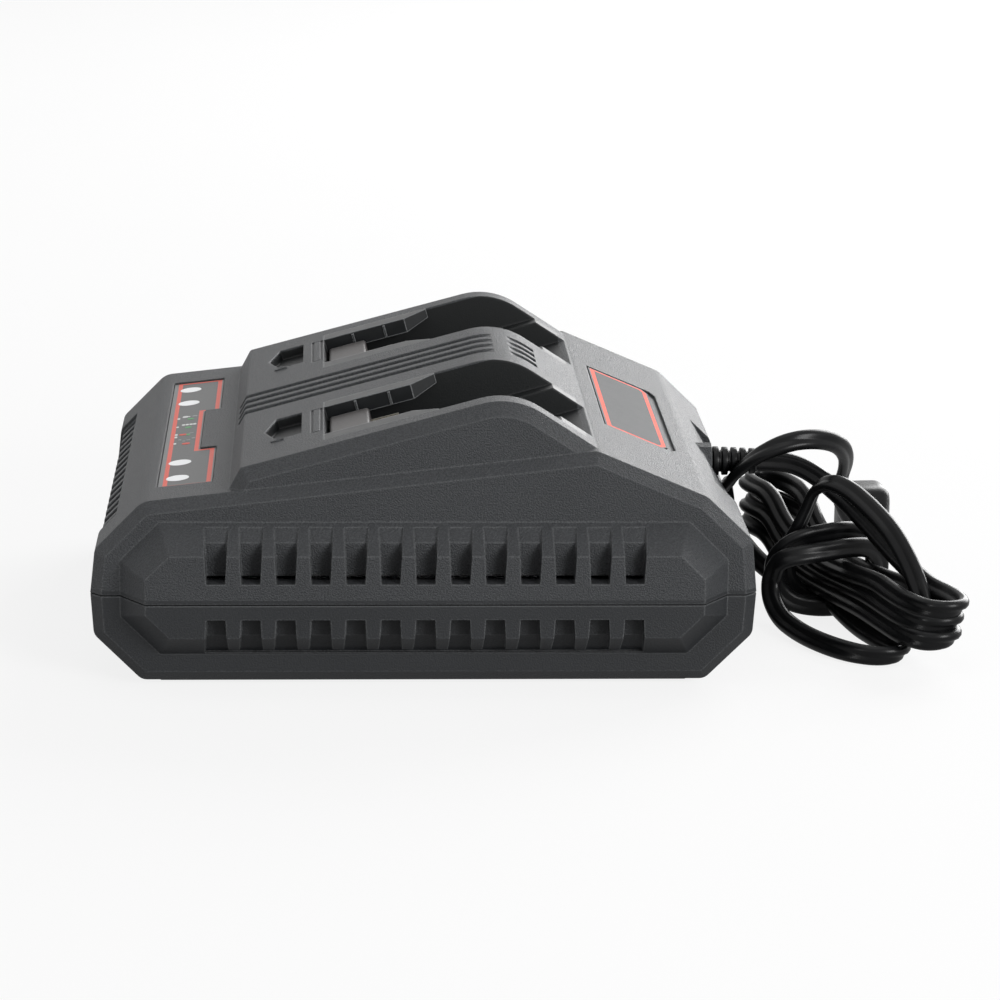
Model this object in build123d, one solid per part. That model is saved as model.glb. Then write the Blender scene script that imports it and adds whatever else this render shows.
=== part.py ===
from build123d import *
import os
from math import cos, hypot, radians, sin, tan

# Two-bay charger for slide-on power tool battery packs. Millimetres.
# +X points to the rear, where the power cord leaves; the status panel faces -X. +Z is up.
# The origin is on the table, under the middle of the housing.

# ------------------------------------------------------------------ housing
body_length = 204.6          # front to back, at the parting line
body_width = 187.0           # flat side to flat side, without the side panels
underside_z = 2.1            # flat underside above the table
parting_z = 30.0             # where the two shells meet
wall = 2.5
edge_bevel = 3.5             # 45 degree bevel round both flat sides
lower_draft = 0.9            # how far each end leans in below the parting line
lower_corner = 14.5          # 45 degree corner between each end and the underside
upper_draft = 1.5            # how far each end leans in above the parting line
front_lip_z = 43.7           # top of the upright front face
front_slope_run = 14.6
front_slope_rise = 14.9
ridge_z = 74.5               # highest line of the body, behind the bays
rear_slope_run = 34.2
rear_slope_drop = 14.5
tail_run = 14.1
tail_drop = 13.6
corner_round = 4.0           # rounding of the body's outline corners
slope_round = 7.0            # softer rounding at the head of the end slopes

plinth_end_inset = 19.8      # raised bottom panel that carries the feet, from the body's ends
plinth_side_inset = 6.5      # and from its flat sides
plinth_step = 1.5
foot_radius = 7.5
foot_end_inset = 16.5        # centre of a foot, from the plinth's ends
foot_side_inset = 19.0       # and from its sides
foot_recess = 1.2            # how deep each foot sits in the plinth
foot_clearance = 0.2

# Bulging side panels with bevelled edges
panel_inset = 9.3            # from each end of the body to the panel
panel_low_z = 11.3
panel_high_z = 53.0
panel_corner = 12.0
panel_rise = 11.0            # how far a side panel stands out
panel_bevel = 8.0            # width of its sloped border

# Vents
vent_count = 13              # slots along each side, in two rows
vent_pitch = 10.6
vent_slot = 5.7              # width of each slot next to the parting line
vent_slot_wide = 7.3         # and at its far end, where the ribs are thin
upper_vent_low_z = 36.3
upper_vent_high_z = 51.7
lower_vent_low_z = 12.0
lower_vent_high_z = 25.1
vent_rib_gap = 1.6           # the lower ribs stop this far above the foot of their row
vent_foot_depth = 1.2        # how far the lower row's foot is sunk below the body's flat side
vent_depth = 5.5             # depth of the slots in the panel's flat face
upper_vent_slope = 5.0       # sloped border of the plate behind the slots, top and bottom
lower_vent_slope = 7.6
vent_plate = 2.2             # thickness of the plate behind the slots
vent_window = 1.3            # height of the air window at the end of each slot
front_vent_count = 16
front_vent_pitch = 8.6
front_vent_slot = 5.2
front_vent_low_z = 35.0
front_vent_high_z = 49.4
front_vent_recess = 1.0
front_vent_margin = 2.6

# ------------------------------------------------------------------ deck that holds the bays
status_deck_length = 26.3    # flat in front of the deck, for the status panel
step_run = 3.5
step_rise = 6.6
deck_angle = 15.3
crest_round = 23.0
rear_fall_angle = 33.0
deck_bevel = 4.0
step_round = 1.5

fin_width = 8.0              # outer fin beside each bay
bay_width = 52.0
channel_start = 26.4         # front wall of the channel, along the slope from the step
channel_depth = 13.5         # first floor of the channel, square to the slope
rail_reach = 7.2             # how far a guide rail stands in over the channel
rail_thickness = 5.0
rail_length = 36.5
rail_lead_in = 8.0           # tapered nose of a rail
rail_nose = 0.8              # what is left of the reach at the nose's tip
rail_nose_thickness = 3.2    # and of the thickness there
trough_start = 52.0          # deeper channel for the pack's belly
trough_width = 40.0
trough_depth = 8.8
latch_start = 7.0            # pocket for the pack's latch, pointed in front
latch_length = 12.2
latch_width = 28.6
latch_depth = 3.4
latch_point = 3.9            # length of the pocket's point
latch_shift = 5.0            # the pocket lies off the bay's middle, towards +Y
mark_start = 22.2            # thin frame moulded in front of the channel
mark_length = 3.8
mark_width = 31.5
mark_shift = 2.7             # the frame too lies off the bay's middle
mark_depth = 0.4
mark_line = 0.8
groove_count = 4             # along the middle of the deck
groove_pitch = 7.8
groove_width = 4.8
groove_depth = 1.1
groove_end_gap = 14.5        # between the grooves' rear ends and the ridge

# ------------------------------------------------------------------ status panel and badge
overlay_front = 4.0          # behind the front edge of the status deck
overlay_length = 16.9
overlay_width = 147.0
overlay_notch = 5.2
overlay_notch_width = 54.0
overlay_thickness = 0.5
overlay_recess = 1.0
overlay_gap = 0.3
lens_radius = 3.6
lens_x = 9.8                 # behind the front edge of the status deck
lens_inner_y = 42.3
lens_outer_y = 62.6
lens_clearance = 0.1

badge_start = 6.5            # down the rear slope from the ridge
badge_length = 22.0
badge_width = 85.6
badge_corner = 4.0
badge_thickness = 0.8
badge_recess = 1.0
badge_gap = 0.6
badge_lower_gap = 2.6        # wider gap along the badge's lower edge

# ------------------------------------------------------------------ terminals
terminal_gap = 0.9           # between the block and the channel's front wall
terminal_length = 13.0
terminal_width = 30.0
terminal_height = 10.5
neck_length = 6.0
neck_width = 22.0
neck_depth = 5.0
neck_clearance = 0.2
blade_count = 4
blade_pitch = 6.6
blade_thickness = 0.8
blade_height = 6.0
blade_reach = 9.0            # free length behind the block
blade_seat = 4.0             # length inside the block
blade_raise = 1.5            # above the channel's floor

# ------------------------------------------------------------------ fasteners and boards
column_radius = 5.0
column_end_inset = 26.3      # from the body's ends to the screw columns
column_side_inset = 14.5     # and from its flat sides
post_sides = 12              # round posts, holes and fasteners inside are twelve-sided
screw_radius = 1.5
screw_head_radius = 3.1
screw_head_height = 2.2
screw_length = 30.0
screw_recess = 10.0          # depth of the hole the head sits in, from the plinth
screw_clearance = 0.15

board_fan_gap = 7.0          # between the fan and the board
board_end_inset = 18.3       # from the body's rear end to the board
board_side_inset = 24.5      # from the body's flat sides to the board
board_thickness = 1.6
board_raise = 5.0            # standoff height above the floor
standoff_radius = 4.0
standoff_inset = 7.0
board_screw_length = 5.0
board_screw_head_height = 1.6

status_board_drop = 7.0      # board's top below the status deck's surface
status_board_start = 2.0
status_board_length = 15.5
status_board_width = 136.0
status_boss_width = 4.6
status_boss_x = 14.6
status_boss_inner_y = 22.0
status_boss_outer_y = 52.5
led_size = 3.4
led_height = 1.6
lens_stem_width = 3.4

# ------------------------------------------------------------------ power parts on the board
transformer_x = 8.0
core_length = 36.0
core_width = 14.0
core_height = 28.0
core_leg = 9.0
core_yoke = 6.0
winding_gap = 0.2
winding_build = 5.8
bulk_radius = 9.0
bulk_height = 32.0
bulk_inset = 38.0            # from the board's rear edge
bulk_y = 24.0
output_cap_radius = 5.0
output_cap_height = 20.0
output_cap_inset = 16.0      # from the board's front edge
output_cap_pitch = 13.0
heatsink_length = 72.0
heatsink_plate = 3.0
heatsink_height = 30.0
heatsink_fins = 7
heatsink_fin_reach = 9.0
heatsink_fin_thickness = 1.8
heatsink_x = 0.0
heatsink_y = 50.0
transistor_width = 10.0
transistor_depth = 4.5
transistor_height = 15.0
transistor_pitch = 24.0
choke_inset = 28.0           # from the board's rear edge
choke_radius = 10.0
choke_hole = 4.5
choke_height = 10.0
line_filter_inset = 13.0     # from the board's rear edge
line_filter_y = 26.0
line_filter_length = 8.0
line_filter_width = 18.0
line_filter_height = 15.0
fuse_inset = 12.0            # from the board's rear edge
fuse_y = -26.0
fuse_radius = 2.6
fuse_length = 20.0
fuse_cap_length = 5.0
fuse_cap_wall = 0.4
inlet_inset = 8.0            # from the board's rear edge
inlet_length = 9.0
inlet_width = 16.0
inlet_height = 12.0

# ------------------------------------------------------------------ fan
fan_size = 40.0
fan_depth = 15.0
fan_inset = 33.3             # from the body's front end to the back of the fan
fan_bore_radius = 18.8
fan_tip_radius = 18.0
fan_hub_radius = 9.0
fan_hub_length = 10.5
fan_hub_wall = 1.4
fan_blade_count = 7
fan_blade_thickness = 1.1
fan_blade_chord = 10.5
fan_blade_pitch = 38.0
fan_shaft_radius = 1.5
fan_bearing_radius = 3.6
fan_bearing_clearance = 0.05
fan_strut_width = 3.0
fan_strut_depth = 2.0
fan_cradle_height = 12.0
fan_cradle_wall = 2.0
fan_cradle_gap = 0.2

# ------------------------------------------------------------------ power cord
cord_width = 6.6             # wider side of the flat two-core cord
cord_facets = 6              # its plain tubes are six-sided
gland_inset = 18.3           # from the body's rear end to the inner end of the strain relief
gland_z = 49.5
gland_length = 27.5
gland_root_radius = 5.2
gland_tip_radius = 4.1
gland_flange_radius = 7.5
gland_flange = 2.0
gland_clearance = 0.1
gland_slots = 4
gland_slot_width = 1.2
gland_slot_pitch = 3.0
gland_slot_core = 0.4        # wall left round the cord at the slots
collar_radius = 6.2          # seat moulded round the strain relief
collar_end = 12.5            # how far back from its flange the seat reaches
scoop_width = 88.0           # recess round the cord's exit
scoop_start = 9.7            # where it starts, down the tail's slope
scoop_angle = 58.8           # how steeply its floor falls
scoop_reach = 17.0           # length of the recess's floor, out past the rear face


# ================================================================== shared helpers
def outline_face(points, radii, y):
    """Face in the plane y, from an outline of (x, z) points whose corners are rounded."""
    arcs = []
    for index, (point, radius) in enumerate(zip(points, radii)):
        corner = Vector(*point)
        following = Vector(*points[(index + 1) % len(points)])
        to_last = (Vector(*points[index - 1]) - corner).normalized()
        to_next = (following - corner).normalized()
        half = radians(to_last.get_angle(to_next)) / 2
        reach = radius / tan(half)
        middle = corner + (to_last + to_next).normalized() * (radius / sin(half) - radius)
        arcs.append([corner + to_last * reach, middle, corner + to_next * reach])
    arcs = [[(p.X, y, p.Y) for p in arc] for arc in arcs]
    edges = []
    for index, (first, middle, last) in enumerate(arcs):
        if radii[index] > 0:
            edges.append(Edge.make_three_point_arc(first, middle, last))
        edges.append(Edge.make_line(last, arcs[(index + 1) % len(arcs)][0]))
    return Face(Wire(edges))


def inset_outline(points, radii, inset):
    """Outline with every side moved inwards; its points run counter-clockwise."""
    tightest = 0.3               # least radius that a rounded corner keeps
    moved = []
    new_radii = []
    for index, point in enumerate(points):
        corner = Vector(*point)
        after = (Vector(*points[(index + 1) % len(points)]) - corner).normalized()
        before = (corner - Vector(*points[index - 1])).normalized()
        inwards = Vector(-before.Y, before.X) + Vector(-after.Y, after.X)
        shift = inwards * (inset / (1 + before.dot(after)))
        moved.append((corner.X + shift.X, corner.Y + shift.Y))
        convex = before.cross(after).Z > 0
        radius = radii[index] - inset if convex else radii[index] + inset
        new_radii.append(max(radius, tightest) if radii[index] > 0 else 0)
    return moved, new_radii


def crowned_prism(points, radii, foot_y, rise, run, inset=0):
    """Prism across Y, mirrored about y = 0, whose two ends slope in by run over rise.

    A positive inset gives the same form with every face moved inwards and its corners sharp.
    """
    if inset != 0:
        radii = [0] * len(points)
    slope = run / rise
    stretch = hypot(1, slope)
    shoulder = foot_y - inset * (stretch - 1) / slope
    end_y = foot_y + rise - inset
    end_inset = (rise - inset) * slope + inset * stretch
    plain = inset_outline(points, radii, inset)
    crowned = inset_outline(points, radii, end_inset)
    sections = [
        outline_face(*crowned, -end_y),
        outline_face(*plain, -shoulder),
        outline_face(*plain, shoulder),
        outline_face(*crowned, end_y),
    ]
    return loft(sections, ruled=True)


def block(frame, x, y, z):
    """Box between two limits along each axis of a working plane."""
    limits = (x, y, z)
    sizes = [high - low for low, high in limits]
    middle = [(high + low) / 2 for low, high in limits]
    return frame.location * Pos(*middle) * Box(*sizes)


def prism(frame, points, low, high):
    """Prism from (x, y) points in a working plane, between two heights above it."""
    face = make_face(Polyline(*points, close=True))
    return frame.location * Pos(0, 0, low) * extrude(face, high - low, dir=(0, 0, 1))


def rod(x, y, radius, low, high):
    """Upright cylinder between two heights."""
    return Pos(x, y, (low + high) / 2) * Cylinder(radius, high - low)


def post(x, y, radius, low, high):
    """Upright many-sided post between two heights, for round things inside the housing."""
    return Pos(x, y, low) * extrude(RegularPolygon(radius, post_sides), high - low)


def slope_plane(start, end):
    """Working plane at start, x along the line to end, z away from the body."""
    along = Vector(end[0] - start[0], 0, end[1] - start[1]).normalized()
    return Plane(origin=(start[0], 0, start[1]), x_dir=along, z_dir=(-along.Z, 0, along.X))


def row(count, pitch):
    """Centred positions of a row of equal steps."""
    return [(index - (count - 1) / 2) * pitch for index in range(count)]


# ================================================================== outlines of the housing
half_length = body_length / 2
side_y = body_width / 2
panel_length = body_length - 2 * panel_inset
end_x = half_length - upper_draft
lower_x = half_length - lower_draft
status_edge = (-end_x + front_slope_run, front_lip_z + front_slope_rise)
tail_top = (end_x - tail_run, ridge_z - rear_slope_drop)
ridge = (tail_top[0] - rear_slope_run, ridge_z)

body_points = [
    (-lower_x + lower_corner, underside_z),
    (lower_x - lower_corner, underside_z),
    (lower_x, underside_z + lower_corner),
    (half_length, parting_z),
    (end_x, tail_top[1] - tail_drop),
    tail_top,
    ridge,
    status_edge,
    (-end_x, front_lip_z),
    (-half_length, parting_z),
    (-lower_x, underside_z + lower_corner),
]
body_radii = [
    corner_round, corner_round, corner_round, 0, corner_round, slope_round,
    corner_round, slope_round, corner_round, 0, corner_round,
]


def octagon(half_x, low_z, high_z, cut):
    """Outline with four cut corners, counter-clockwise."""
    return [
        (-half_x + cut, low_z), (half_x - cut, low_z), (half_x, low_z + cut),
        (half_x, high_z - cut), (half_x - cut, high_z), (-half_x + cut, high_z),
        (-half_x, high_z - cut), (-half_x, low_z + cut),
    ]


panel_points = octagon(panel_length / 2, panel_low_z, panel_high_z, panel_corner)
panel_radii = [1.0] * len(panel_points)


def body_form(inset=0):
    """Main body between its bevelled flat sides."""
    foot_y = side_y - edge_bevel
    return crowned_prism(body_points, body_radii, foot_y, edge_bevel, edge_bevel, inset)


def panel_form(inset=0):
    """Both side panels, as one bar through the body."""
    return crowned_prism(panel_points, panel_radii, side_y, panel_rise, panel_bevel, inset)


def vent_plate_form(run, sunk=0, inset=0):
    """The panels as the plates behind the vents see them: lower, with their own border slope."""
    rise = panel_rise - vent_depth + sunk
    return crowned_prism(panel_points, panel_radii, side_y - sunk, rise, run, inset)


# Deck: a wedge that climbs from the step to a rounded crest and falls to the ridge
status_slope = (ridge[1] - status_edge[1]) / (ridge[0] - status_edge[0])
step_foot = (
    status_edge[0] + status_deck_length,
    status_edge[1] + status_deck_length * status_slope,
)
step_top = (step_foot[0] + step_run, step_foot[1] + step_rise)
climb = tan(radians(deck_angle))
fall = tan(radians(rear_fall_angle))
crest_x = (ridge[1] - step_top[1] + climb * step_top[0] + fall * ridge[0]) / (climb + fall)
crest = (crest_x, step_top[1] + climb * (crest_x - step_top[0]))
deck_root = 7.0              # how far the deck's outline reaches down into the body
deck_points = [
    (step_foot[0] - deck_root * step_run / step_rise, step_foot[1] - deck_root),
    (ridge[0] + deck_root / fall, step_foot[1] - deck_root),
    (ridge[0] + deck_root / fall, ridge[1] - deck_root),
    crest,
    step_top,
]
deck_radii = [0, 0, 0, crest_round, step_round]
deck_half = side_y - edge_bevel
deck_top_half = deck_half - deck_bevel


def deck_form(inset=0):
    """Raised deck over the bays, its fins and middle strip still joined."""
    return crowned_prism(deck_points, deck_radii, deck_top_half, deck_bevel, deck_bevel, inset)


status_plane = slope_plane(status_edge, ridge)
rear_plane = slope_plane(ridge, tail_top)
deck_plane = slope_plane(step_top, crest)
deck_reach = 140.0           # past the crest, along the slope
bay_y = deck_top_half - fin_width - bay_width / 2


# ================================================================== bays
def bay_cut(y):
    """What is taken out of the deck for one battery pack, at this distance from the middle."""
    half = bay_width / 2
    above = 3 * crest_round
    channel = block(deck_plane, (channel_start, deck_reach), (y - half, y + half),
                    (-channel_depth, above))
    trough = block(deck_plane, (trough_start, deck_reach),
                   (y - trough_width / 2, y + trough_width / 2),
                   (-channel_depth - trough_depth, above))
    return [channel, trough]


def make_guide_rails(y):
    """The two rails of one bay, on the channel's walls, each with a tapered nose."""
    wall_y = bay_width / 2
    end = channel_start + rail_length
    rails = []
    for side in (-1, 1):
        plan = [(channel_start, y + side * wall_y), (channel_start, y + side * (wall_y - rail_reach)),
                (end - rail_lead_in, y + side * (wall_y - rail_reach)),
                (end, y + side * (wall_y - rail_nose)), (end, y + side * wall_y)]
        rail = prism(deck_plane, plan, -rail_thickness, 0)
        profile = [(channel_start, 0), (end, 0), (end, -rail_nose_thickness),
                   (end - rail_lead_in, -rail_thickness), (channel_start, -rail_thickness)]
        side_frame = Plane(origin=deck_plane.origin, x_dir=deck_plane.x_dir, z_dir=(0, -1, 0))
        rails.append(rail & prism(side_frame, profile, -body_width, body_width))
    return rails


def bay_tub(y):
    """The space one bay and its walls take out of the hollow shell."""
    half = bay_width / 2 + wall
    start = channel_start - wall
    above = 3 * crest_round
    return [
        block(deck_plane, (start, deck_reach), (y - half, y + half),
              (-channel_depth - wall, above)),
        block(deck_plane, (trough_start - wall, deck_reach),
              (y - trough_width / 2 - wall, y + trough_width / 2 + wall),
              (-channel_depth - trough_depth - wall, above)),
        block(deck_plane, (latch_start - wall, latch_start + latch_length + wall),
              (y + latch_shift - latch_width / 2 - wall, y + latch_shift + latch_width / 2 + wall),
              (-latch_depth - wall, 0)),
    ]


def latch_cut(y):
    """Pocket that the pack's latch drops into: deep on its +Y side, a ramp on the other."""
    middle = y + latch_shift
    half = latch_width / 2
    shoulder = latch_start + latch_point
    end = latch_start + latch_length
    plan = prism(deck_plane, [
        (latch_start, middle), (shoulder, middle - half), (end, middle - half),
        (end, middle + half), (shoulder, middle + half),
    ], -latch_depth - 1, 1)
    across_slope = Plane(origin=deck_plane.origin, x_dir=(0, 1, 0), z_dir=deck_plane.x_dir)
    section = prism(across_slope, [
        (middle - half, 0), (middle, -latch_depth), (middle + half, -latch_depth),
        (middle + half, 1), (middle - half, 1),
    ], 0, deck_reach)
    return plan & section


def mark_cut(y):
    """Thin sunk frame in front of the channel."""
    middle = y + mark_shift
    half = mark_width / 2
    line = mark_line
    outer = block(deck_plane, (mark_start, mark_start + mark_length), (middle - half, middle + half),
                  (-mark_depth, 1))
    inner = block(deck_plane, (mark_start + line, mark_start + mark_length - line),
                  (middle - half + line, middle + half - line), (-mark_depth - 1, 1.5))
    return outer - inner


# ================================================================== status panel and badge
def overlay_plan(gap):
    """Outline of the status overlay; a positive gap gives the recess round it."""
    front = overlay_front - gap
    rear = overlay_front + overlay_length + gap
    half = overlay_width / 2 + gap
    notch = rear - overlay_notch
    notch_half = overlay_notch_width / 2 - gap
    return [
        (front, -half), (rear, -half), (rear, -notch_half), (notch, -notch_half),
        (notch, notch_half), (rear, notch_half), (rear, half), (front, half),
    ]


def badge_plan(gap, lower_gap):
    """Outline of the rear badge, two corners cut; positive gaps give its recess."""
    near = badge_start - gap
    far = badge_start + badge_length + lower_gap
    half = badge_width / 2 + gap
    cut = badge_corner
    return [(near, -half), (far - cut / 2, -half), (far, -half + cut),
            (far, half - cut), (far - cut / 2, half), (near, half)]


status_boss_places = [
    -status_boss_outer_y, -status_boss_inner_y, status_boss_inner_y, status_boss_outer_y,
]
lens_places = [(lens_x, y) for y in (-lens_outer_y, -lens_inner_y, lens_inner_y, lens_outer_y)]


def on_status_deck(x, y, radius, low, high):
    """Cylinder square to the status deck."""
    return status_plane.location * rod(x, y, radius, low, high)


# ================================================================== vents
def vent_slots(narrow_z, wide_z):
    """Tapered slots across the whole housing, narrow at one height and wide at the other."""
    slots = []
    for x in row(vent_count, vent_pitch):
        narrow = vent_slot / 2
        wide = vent_slot_wide / 2
        slots.append(prism(Plane.XZ, [
            (x - narrow, narrow_z), (x + narrow, narrow_z), (x + wide, wide_z), (x - wide, wide_z),
        ], -body_width, body_width))
    return slots


def upper_vents():
    """Slots of the top shell, down to the plate behind them."""
    slots = vent_slots(upper_vent_low_z, upper_vent_high_z)
    return Part() + slots - vent_plate_form(upper_vent_slope)


def lower_vents():
    """Slots of the base, between ribs that stop short of the row's foot."""
    slots = vent_slots(lower_vent_high_z, lower_vent_low_z)
    slots.append(block(Plane.XY, (-vent_span / 2, vent_span / 2), (-body_width, body_width),
                       (lower_vent_low_z, lower_vent_low_z + vent_rib_gap)))
    return Part() + slots - vent_plate_form(lower_vent_slope, vent_foot_depth)


vent_span = (vent_count - 1) * vent_pitch + vent_slot_wide


def vent_windows(z):
    """Air windows through the plate behind the slots, their lower edge at this height."""
    boxes = []
    for x in row(vent_count, vent_pitch):
        for side in (-1, 1):
            reach = sorted((side * (side_y - wall), side * (side_y + panel_rise)))
            boxes.append(block(Plane.XY, (x - vent_slot / 2, x + vent_slot / 2), reach,
                               (z, z + vent_window)))
    return boxes


def front_vents():
    """Recess over the front lip and the slots through it."""
    half = ((front_vent_count - 1) * front_vent_pitch + front_vent_slot) / 2
    reach = (-half_length - 1, -end_x + front_slope_run / 2)
    recess = block(Plane.XY, reach, (-half - front_vent_margin, half + front_vent_margin),
                   (front_vent_low_z - front_vent_margin, front_vent_high_z))
    recess -= body_form(front_vent_recess)
    slots = []
    for y in row(front_vent_count, front_vent_pitch):
        slots.append(block(Plane.XY, (-half_length - 1, -end_x + front_slope_run / 2 + 2),
                           (y - front_vent_slot / 2, y + front_vent_slot / 2),
                           (front_vent_low_z, front_vent_high_z - front_vent_margin / 2)))
    return [recess] + slots


# ================================================================== shells
column_x = half_length - column_end_inset
column_y = side_y - column_side_inset
column_places = [(x, y) for x in (-column_x, column_x) for y in (-column_y, column_y)]
floor_z = underside_z + wall
plinth_z = underside_z - plinth_step
column_seat_z = plinth_z + screw_recess
tongue_rise = 1.4
tongue_gap = 0.2
seam = 0.4                   # dark line between the shells, outside the tongue


def whole_form(inset=0):
    """Housing without its deck."""
    return body_form(inset) + panel_form(inset)


def half_space(low, high):
    """Slab between two heights, larger than the housing."""
    return block(Plane.XY, (-body_length, body_length), (-body_width, body_width), (low, high))


def make_top_shell():
    tall = ridge_z * 2
    outer = (whole_form() + deck_form()) & half_space(parting_z, tall)
    hollow = body_form(wall) + deck_form(wall)
    hollow += vent_plate_form(upper_vent_slope, inset=vent_plate)
    hollow = hollow & half_space(0, tall)
    tubs = bay_tub(bay_y) + bay_tub(-bay_y)
    hollow -= tubs
    shell = outer - hollow

    columns = [post(x, y, column_radius, parting_z, tall) for x, y in column_places]
    shell += (Part() + columns) & outer
    half = status_boss_width / 2
    shell += [block(status_plane, (status_boss_x - half, status_boss_x + half), (y - half, y + half),
                    (-status_board_drop, -wall / 2)) for y in status_boss_places]
    shell += scoop_prism(-wall, 0, scoop_width + 2 * wall) & outer
    shell -= scoop_prism(0, 2 * wall, scoop_width)
    shell += along_gland(collar_radius, gland_flange, collar_end)

    cuts = bay_cut(bay_y) + bay_cut(-bay_y)
    cuts += [latch_cut(bay_y), latch_cut(-bay_y), mark_cut(bay_y), mark_cut(-bay_y)]
    cuts += [upper_vents()] + vent_windows(upper_vent_low_z) + front_vents()
    cuts += [
        prism(status_plane, overlay_plan(overlay_gap), -overlay_recess, 1),
        prism(rear_plane, badge_plan(badge_gap, badge_lower_gap), -badge_recess, 1),
    ]
    for x, y in lens_places:
        cuts.append(on_status_deck(x, y, lens_radius + lens_clearance, -2 * wall, 1))
    for x, y in column_places:
        depth = column_seat_z + screw_length + 2
        cuts.append(post(x, y, screw_radius + screw_clearance, parting_z - 1, depth))
    for side in (-1, 1):
        neck_half = neck_width / 2 + neck_clearance
        middle = side * bay_y
        cuts.append(block(deck_plane,
                          (neck_start - neck_clearance, neck_start + neck_length + neck_clearance),
                          (middle - neck_half, middle + neck_half),
                          (-channel_depth - 2 * wall, -channel_depth + 1)))
    cuts.append(groove_cut())
    cuts.append(along_gland(gland_root_radius + gland_clearance, 0, gland_length))
    cuts.append(tongue(tongue_gap, parting_z - 1, parting_z + tongue_rise + tongue_gap))
    return shell - cuts


def groove_cut():
    """Grooves along the middle strip, from the step over the crest."""
    bars = []
    for y in row(groove_count, groove_pitch):
        bars.append(block(Plane.XY, (step_foot[0] - 1, ridge[0] - groove_end_gap),
                          (y - groove_width / 2, y + groove_width / 2),
                          (step_foot[1] + step_rise / 3, 2 * ridge_z)))
    return Part() + bars - deck_form(groove_depth)


def scoop_prism(low, high, width):
    """Slab along the floor of the recess round the cord's exit, between two heights above it."""
    fall = radians(scoop_angle)
    floor = Plane(origin=(tail_top[0] + tail_run / hypot(tail_run, tail_drop) * scoop_start, 0,
                          tail_top[1] - tail_drop / hypot(tail_run, tail_drop) * scoop_start),
                  x_dir=(cos(fall), 0, -sin(fall)), z_dir=(sin(fall), 0, cos(fall)))
    return block(floor, (-2 * high - wall, scoop_reach), (-width / 2, width / 2), (low, high))


def along_gland(radius, low, high):
    """Many-sided post on the strain relief's axis, measured back from its flange."""
    return Pos(gland_x, 0, gland_z) * Rot(0, 90, 0) * post(0, 0, radius, low, high)


def tongue(gap, low, high):
    """Locating rim that stands on the base and enters the top shell."""
    inner = wall
    middle = wall / 2
    ring = (whole_form(middle - gap) - whole_form(inner + gap)) & half_space(low, high)
    return ring


def make_base_shell():
    outer = whole_form() & half_space(underside_z - 1, parting_z)
    hollow = body_form(wall) + vent_plate_form(lower_vent_slope, inset=vent_plate)
    shell = outer - hollow
    shell += tongue(0, parting_z - 2 * seam, parting_z + tongue_rise)
    shell -= (whole_form(-1) - whole_form(wall / 2)) & half_space(parting_z - seam, parting_z)

    plinth = Pos(0, 0, (plinth_z + floor_z) / 2) * Box(plinth_length, plinth_width,
                                                       floor_z - plinth_z)
    plinth = chamfer(plinth.faces().sort_by(Axis.Z)[0].edges(), plinth_step * 0.9)
    shell += plinth
    shell += [post(x, y, column_radius, plinth_z, parting_z) for x, y in column_places]
    shell += [post(x, y, standoff_radius, floor_z - 1, board_z) for x, y in standoff_places]
    shell += fan_cradle()

    cuts = [lower_vents()] + vent_windows(lower_vent_high_z - vent_window)
    for x, y in column_places:
        cuts.append(post(x, y, screw_head_radius + screw_clearance, 0, column_seat_z))
        cuts.append(post(x, y, screw_radius + screw_clearance, 0, parting_z + 1))
    for x, y in foot_places:
        cuts.append(rod(x, y, foot_radius + foot_clearance, plinth_z - 1,
                        plinth_z + foot_recess))
    for x, y in standoff_places:
        cuts.append(post(x, y, screw_radius + screw_clearance,
                         board_z - board_screw_length, board_z + 1))
    return shell - cuts


plinth_length = body_length - 2 * plinth_end_inset
plinth_width = body_width - 2 * plinth_side_inset
foot_x = plinth_length / 2 - foot_end_inset
foot_y = plinth_width / 2 - foot_side_inset
foot_places = [(x, y) for x in (-foot_x, foot_x) for y in (-foot_y, foot_y)]
board_z = floor_z + board_raise
fan_back_x = fan_inset - half_length
board_front_x = fan_back_x + board_fan_gap
board_rear_x = half_length - board_end_inset
board_length = board_rear_x - board_front_x
board_width = body_width - 2 * board_side_inset
board_middle_x = (board_front_x + board_rear_x) / 2
gland_x = half_length - gland_inset
standoff_places = [
    (board_middle_x + x * (board_length / 2 - standoff_inset), y * (board_width / 2 - standoff_inset))
    for x in (-1, 1) for y in (-1, 1)
]
neck_start = channel_start + terminal_gap + (terminal_length - neck_length) / 2


# ================================================================== small parts of the housing
def make_rubber_feet():
    return [rod(x, y, foot_radius, 0, plinth_z + foot_recess) for x, y in foot_places]


def make_housing_screws():
    screws = []
    for x, y in column_places:
        head = post(x, y, screw_head_radius, column_seat_z - screw_head_height, column_seat_z)
        shank = post(x, y, screw_radius, column_seat_z, column_seat_z + screw_length)
        screws.append(head + shank)
    return screws


def make_status_overlay():
    sheet = prism(status_plane, overlay_plan(0), -overlay_recess, overlay_thickness - overlay_recess)
    holes = [on_status_deck(x, y, lens_radius + lens_clearance, -2, 2) for x, y in lens_places]
    return sheet - holes


def make_light_pipes():
    """A round lens in the panel on a square stem that reaches down to its LED."""
    pipes = []
    low = -status_board_drop + led_height
    half = lens_stem_width / 2
    for x, y in lens_places:
        head = on_status_deck(x, y, lens_radius, -wall, overlay_thickness - overlay_recess)
        stem = block(status_plane, (x - half, x + half), (y - half, y + half), (low, -wall))
        pipes.append(head + stem)
    return pipes


def make_rear_badge():
    return prism(rear_plane, badge_plan(0, 0), -badge_recess, badge_thickness - badge_recess)


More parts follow.
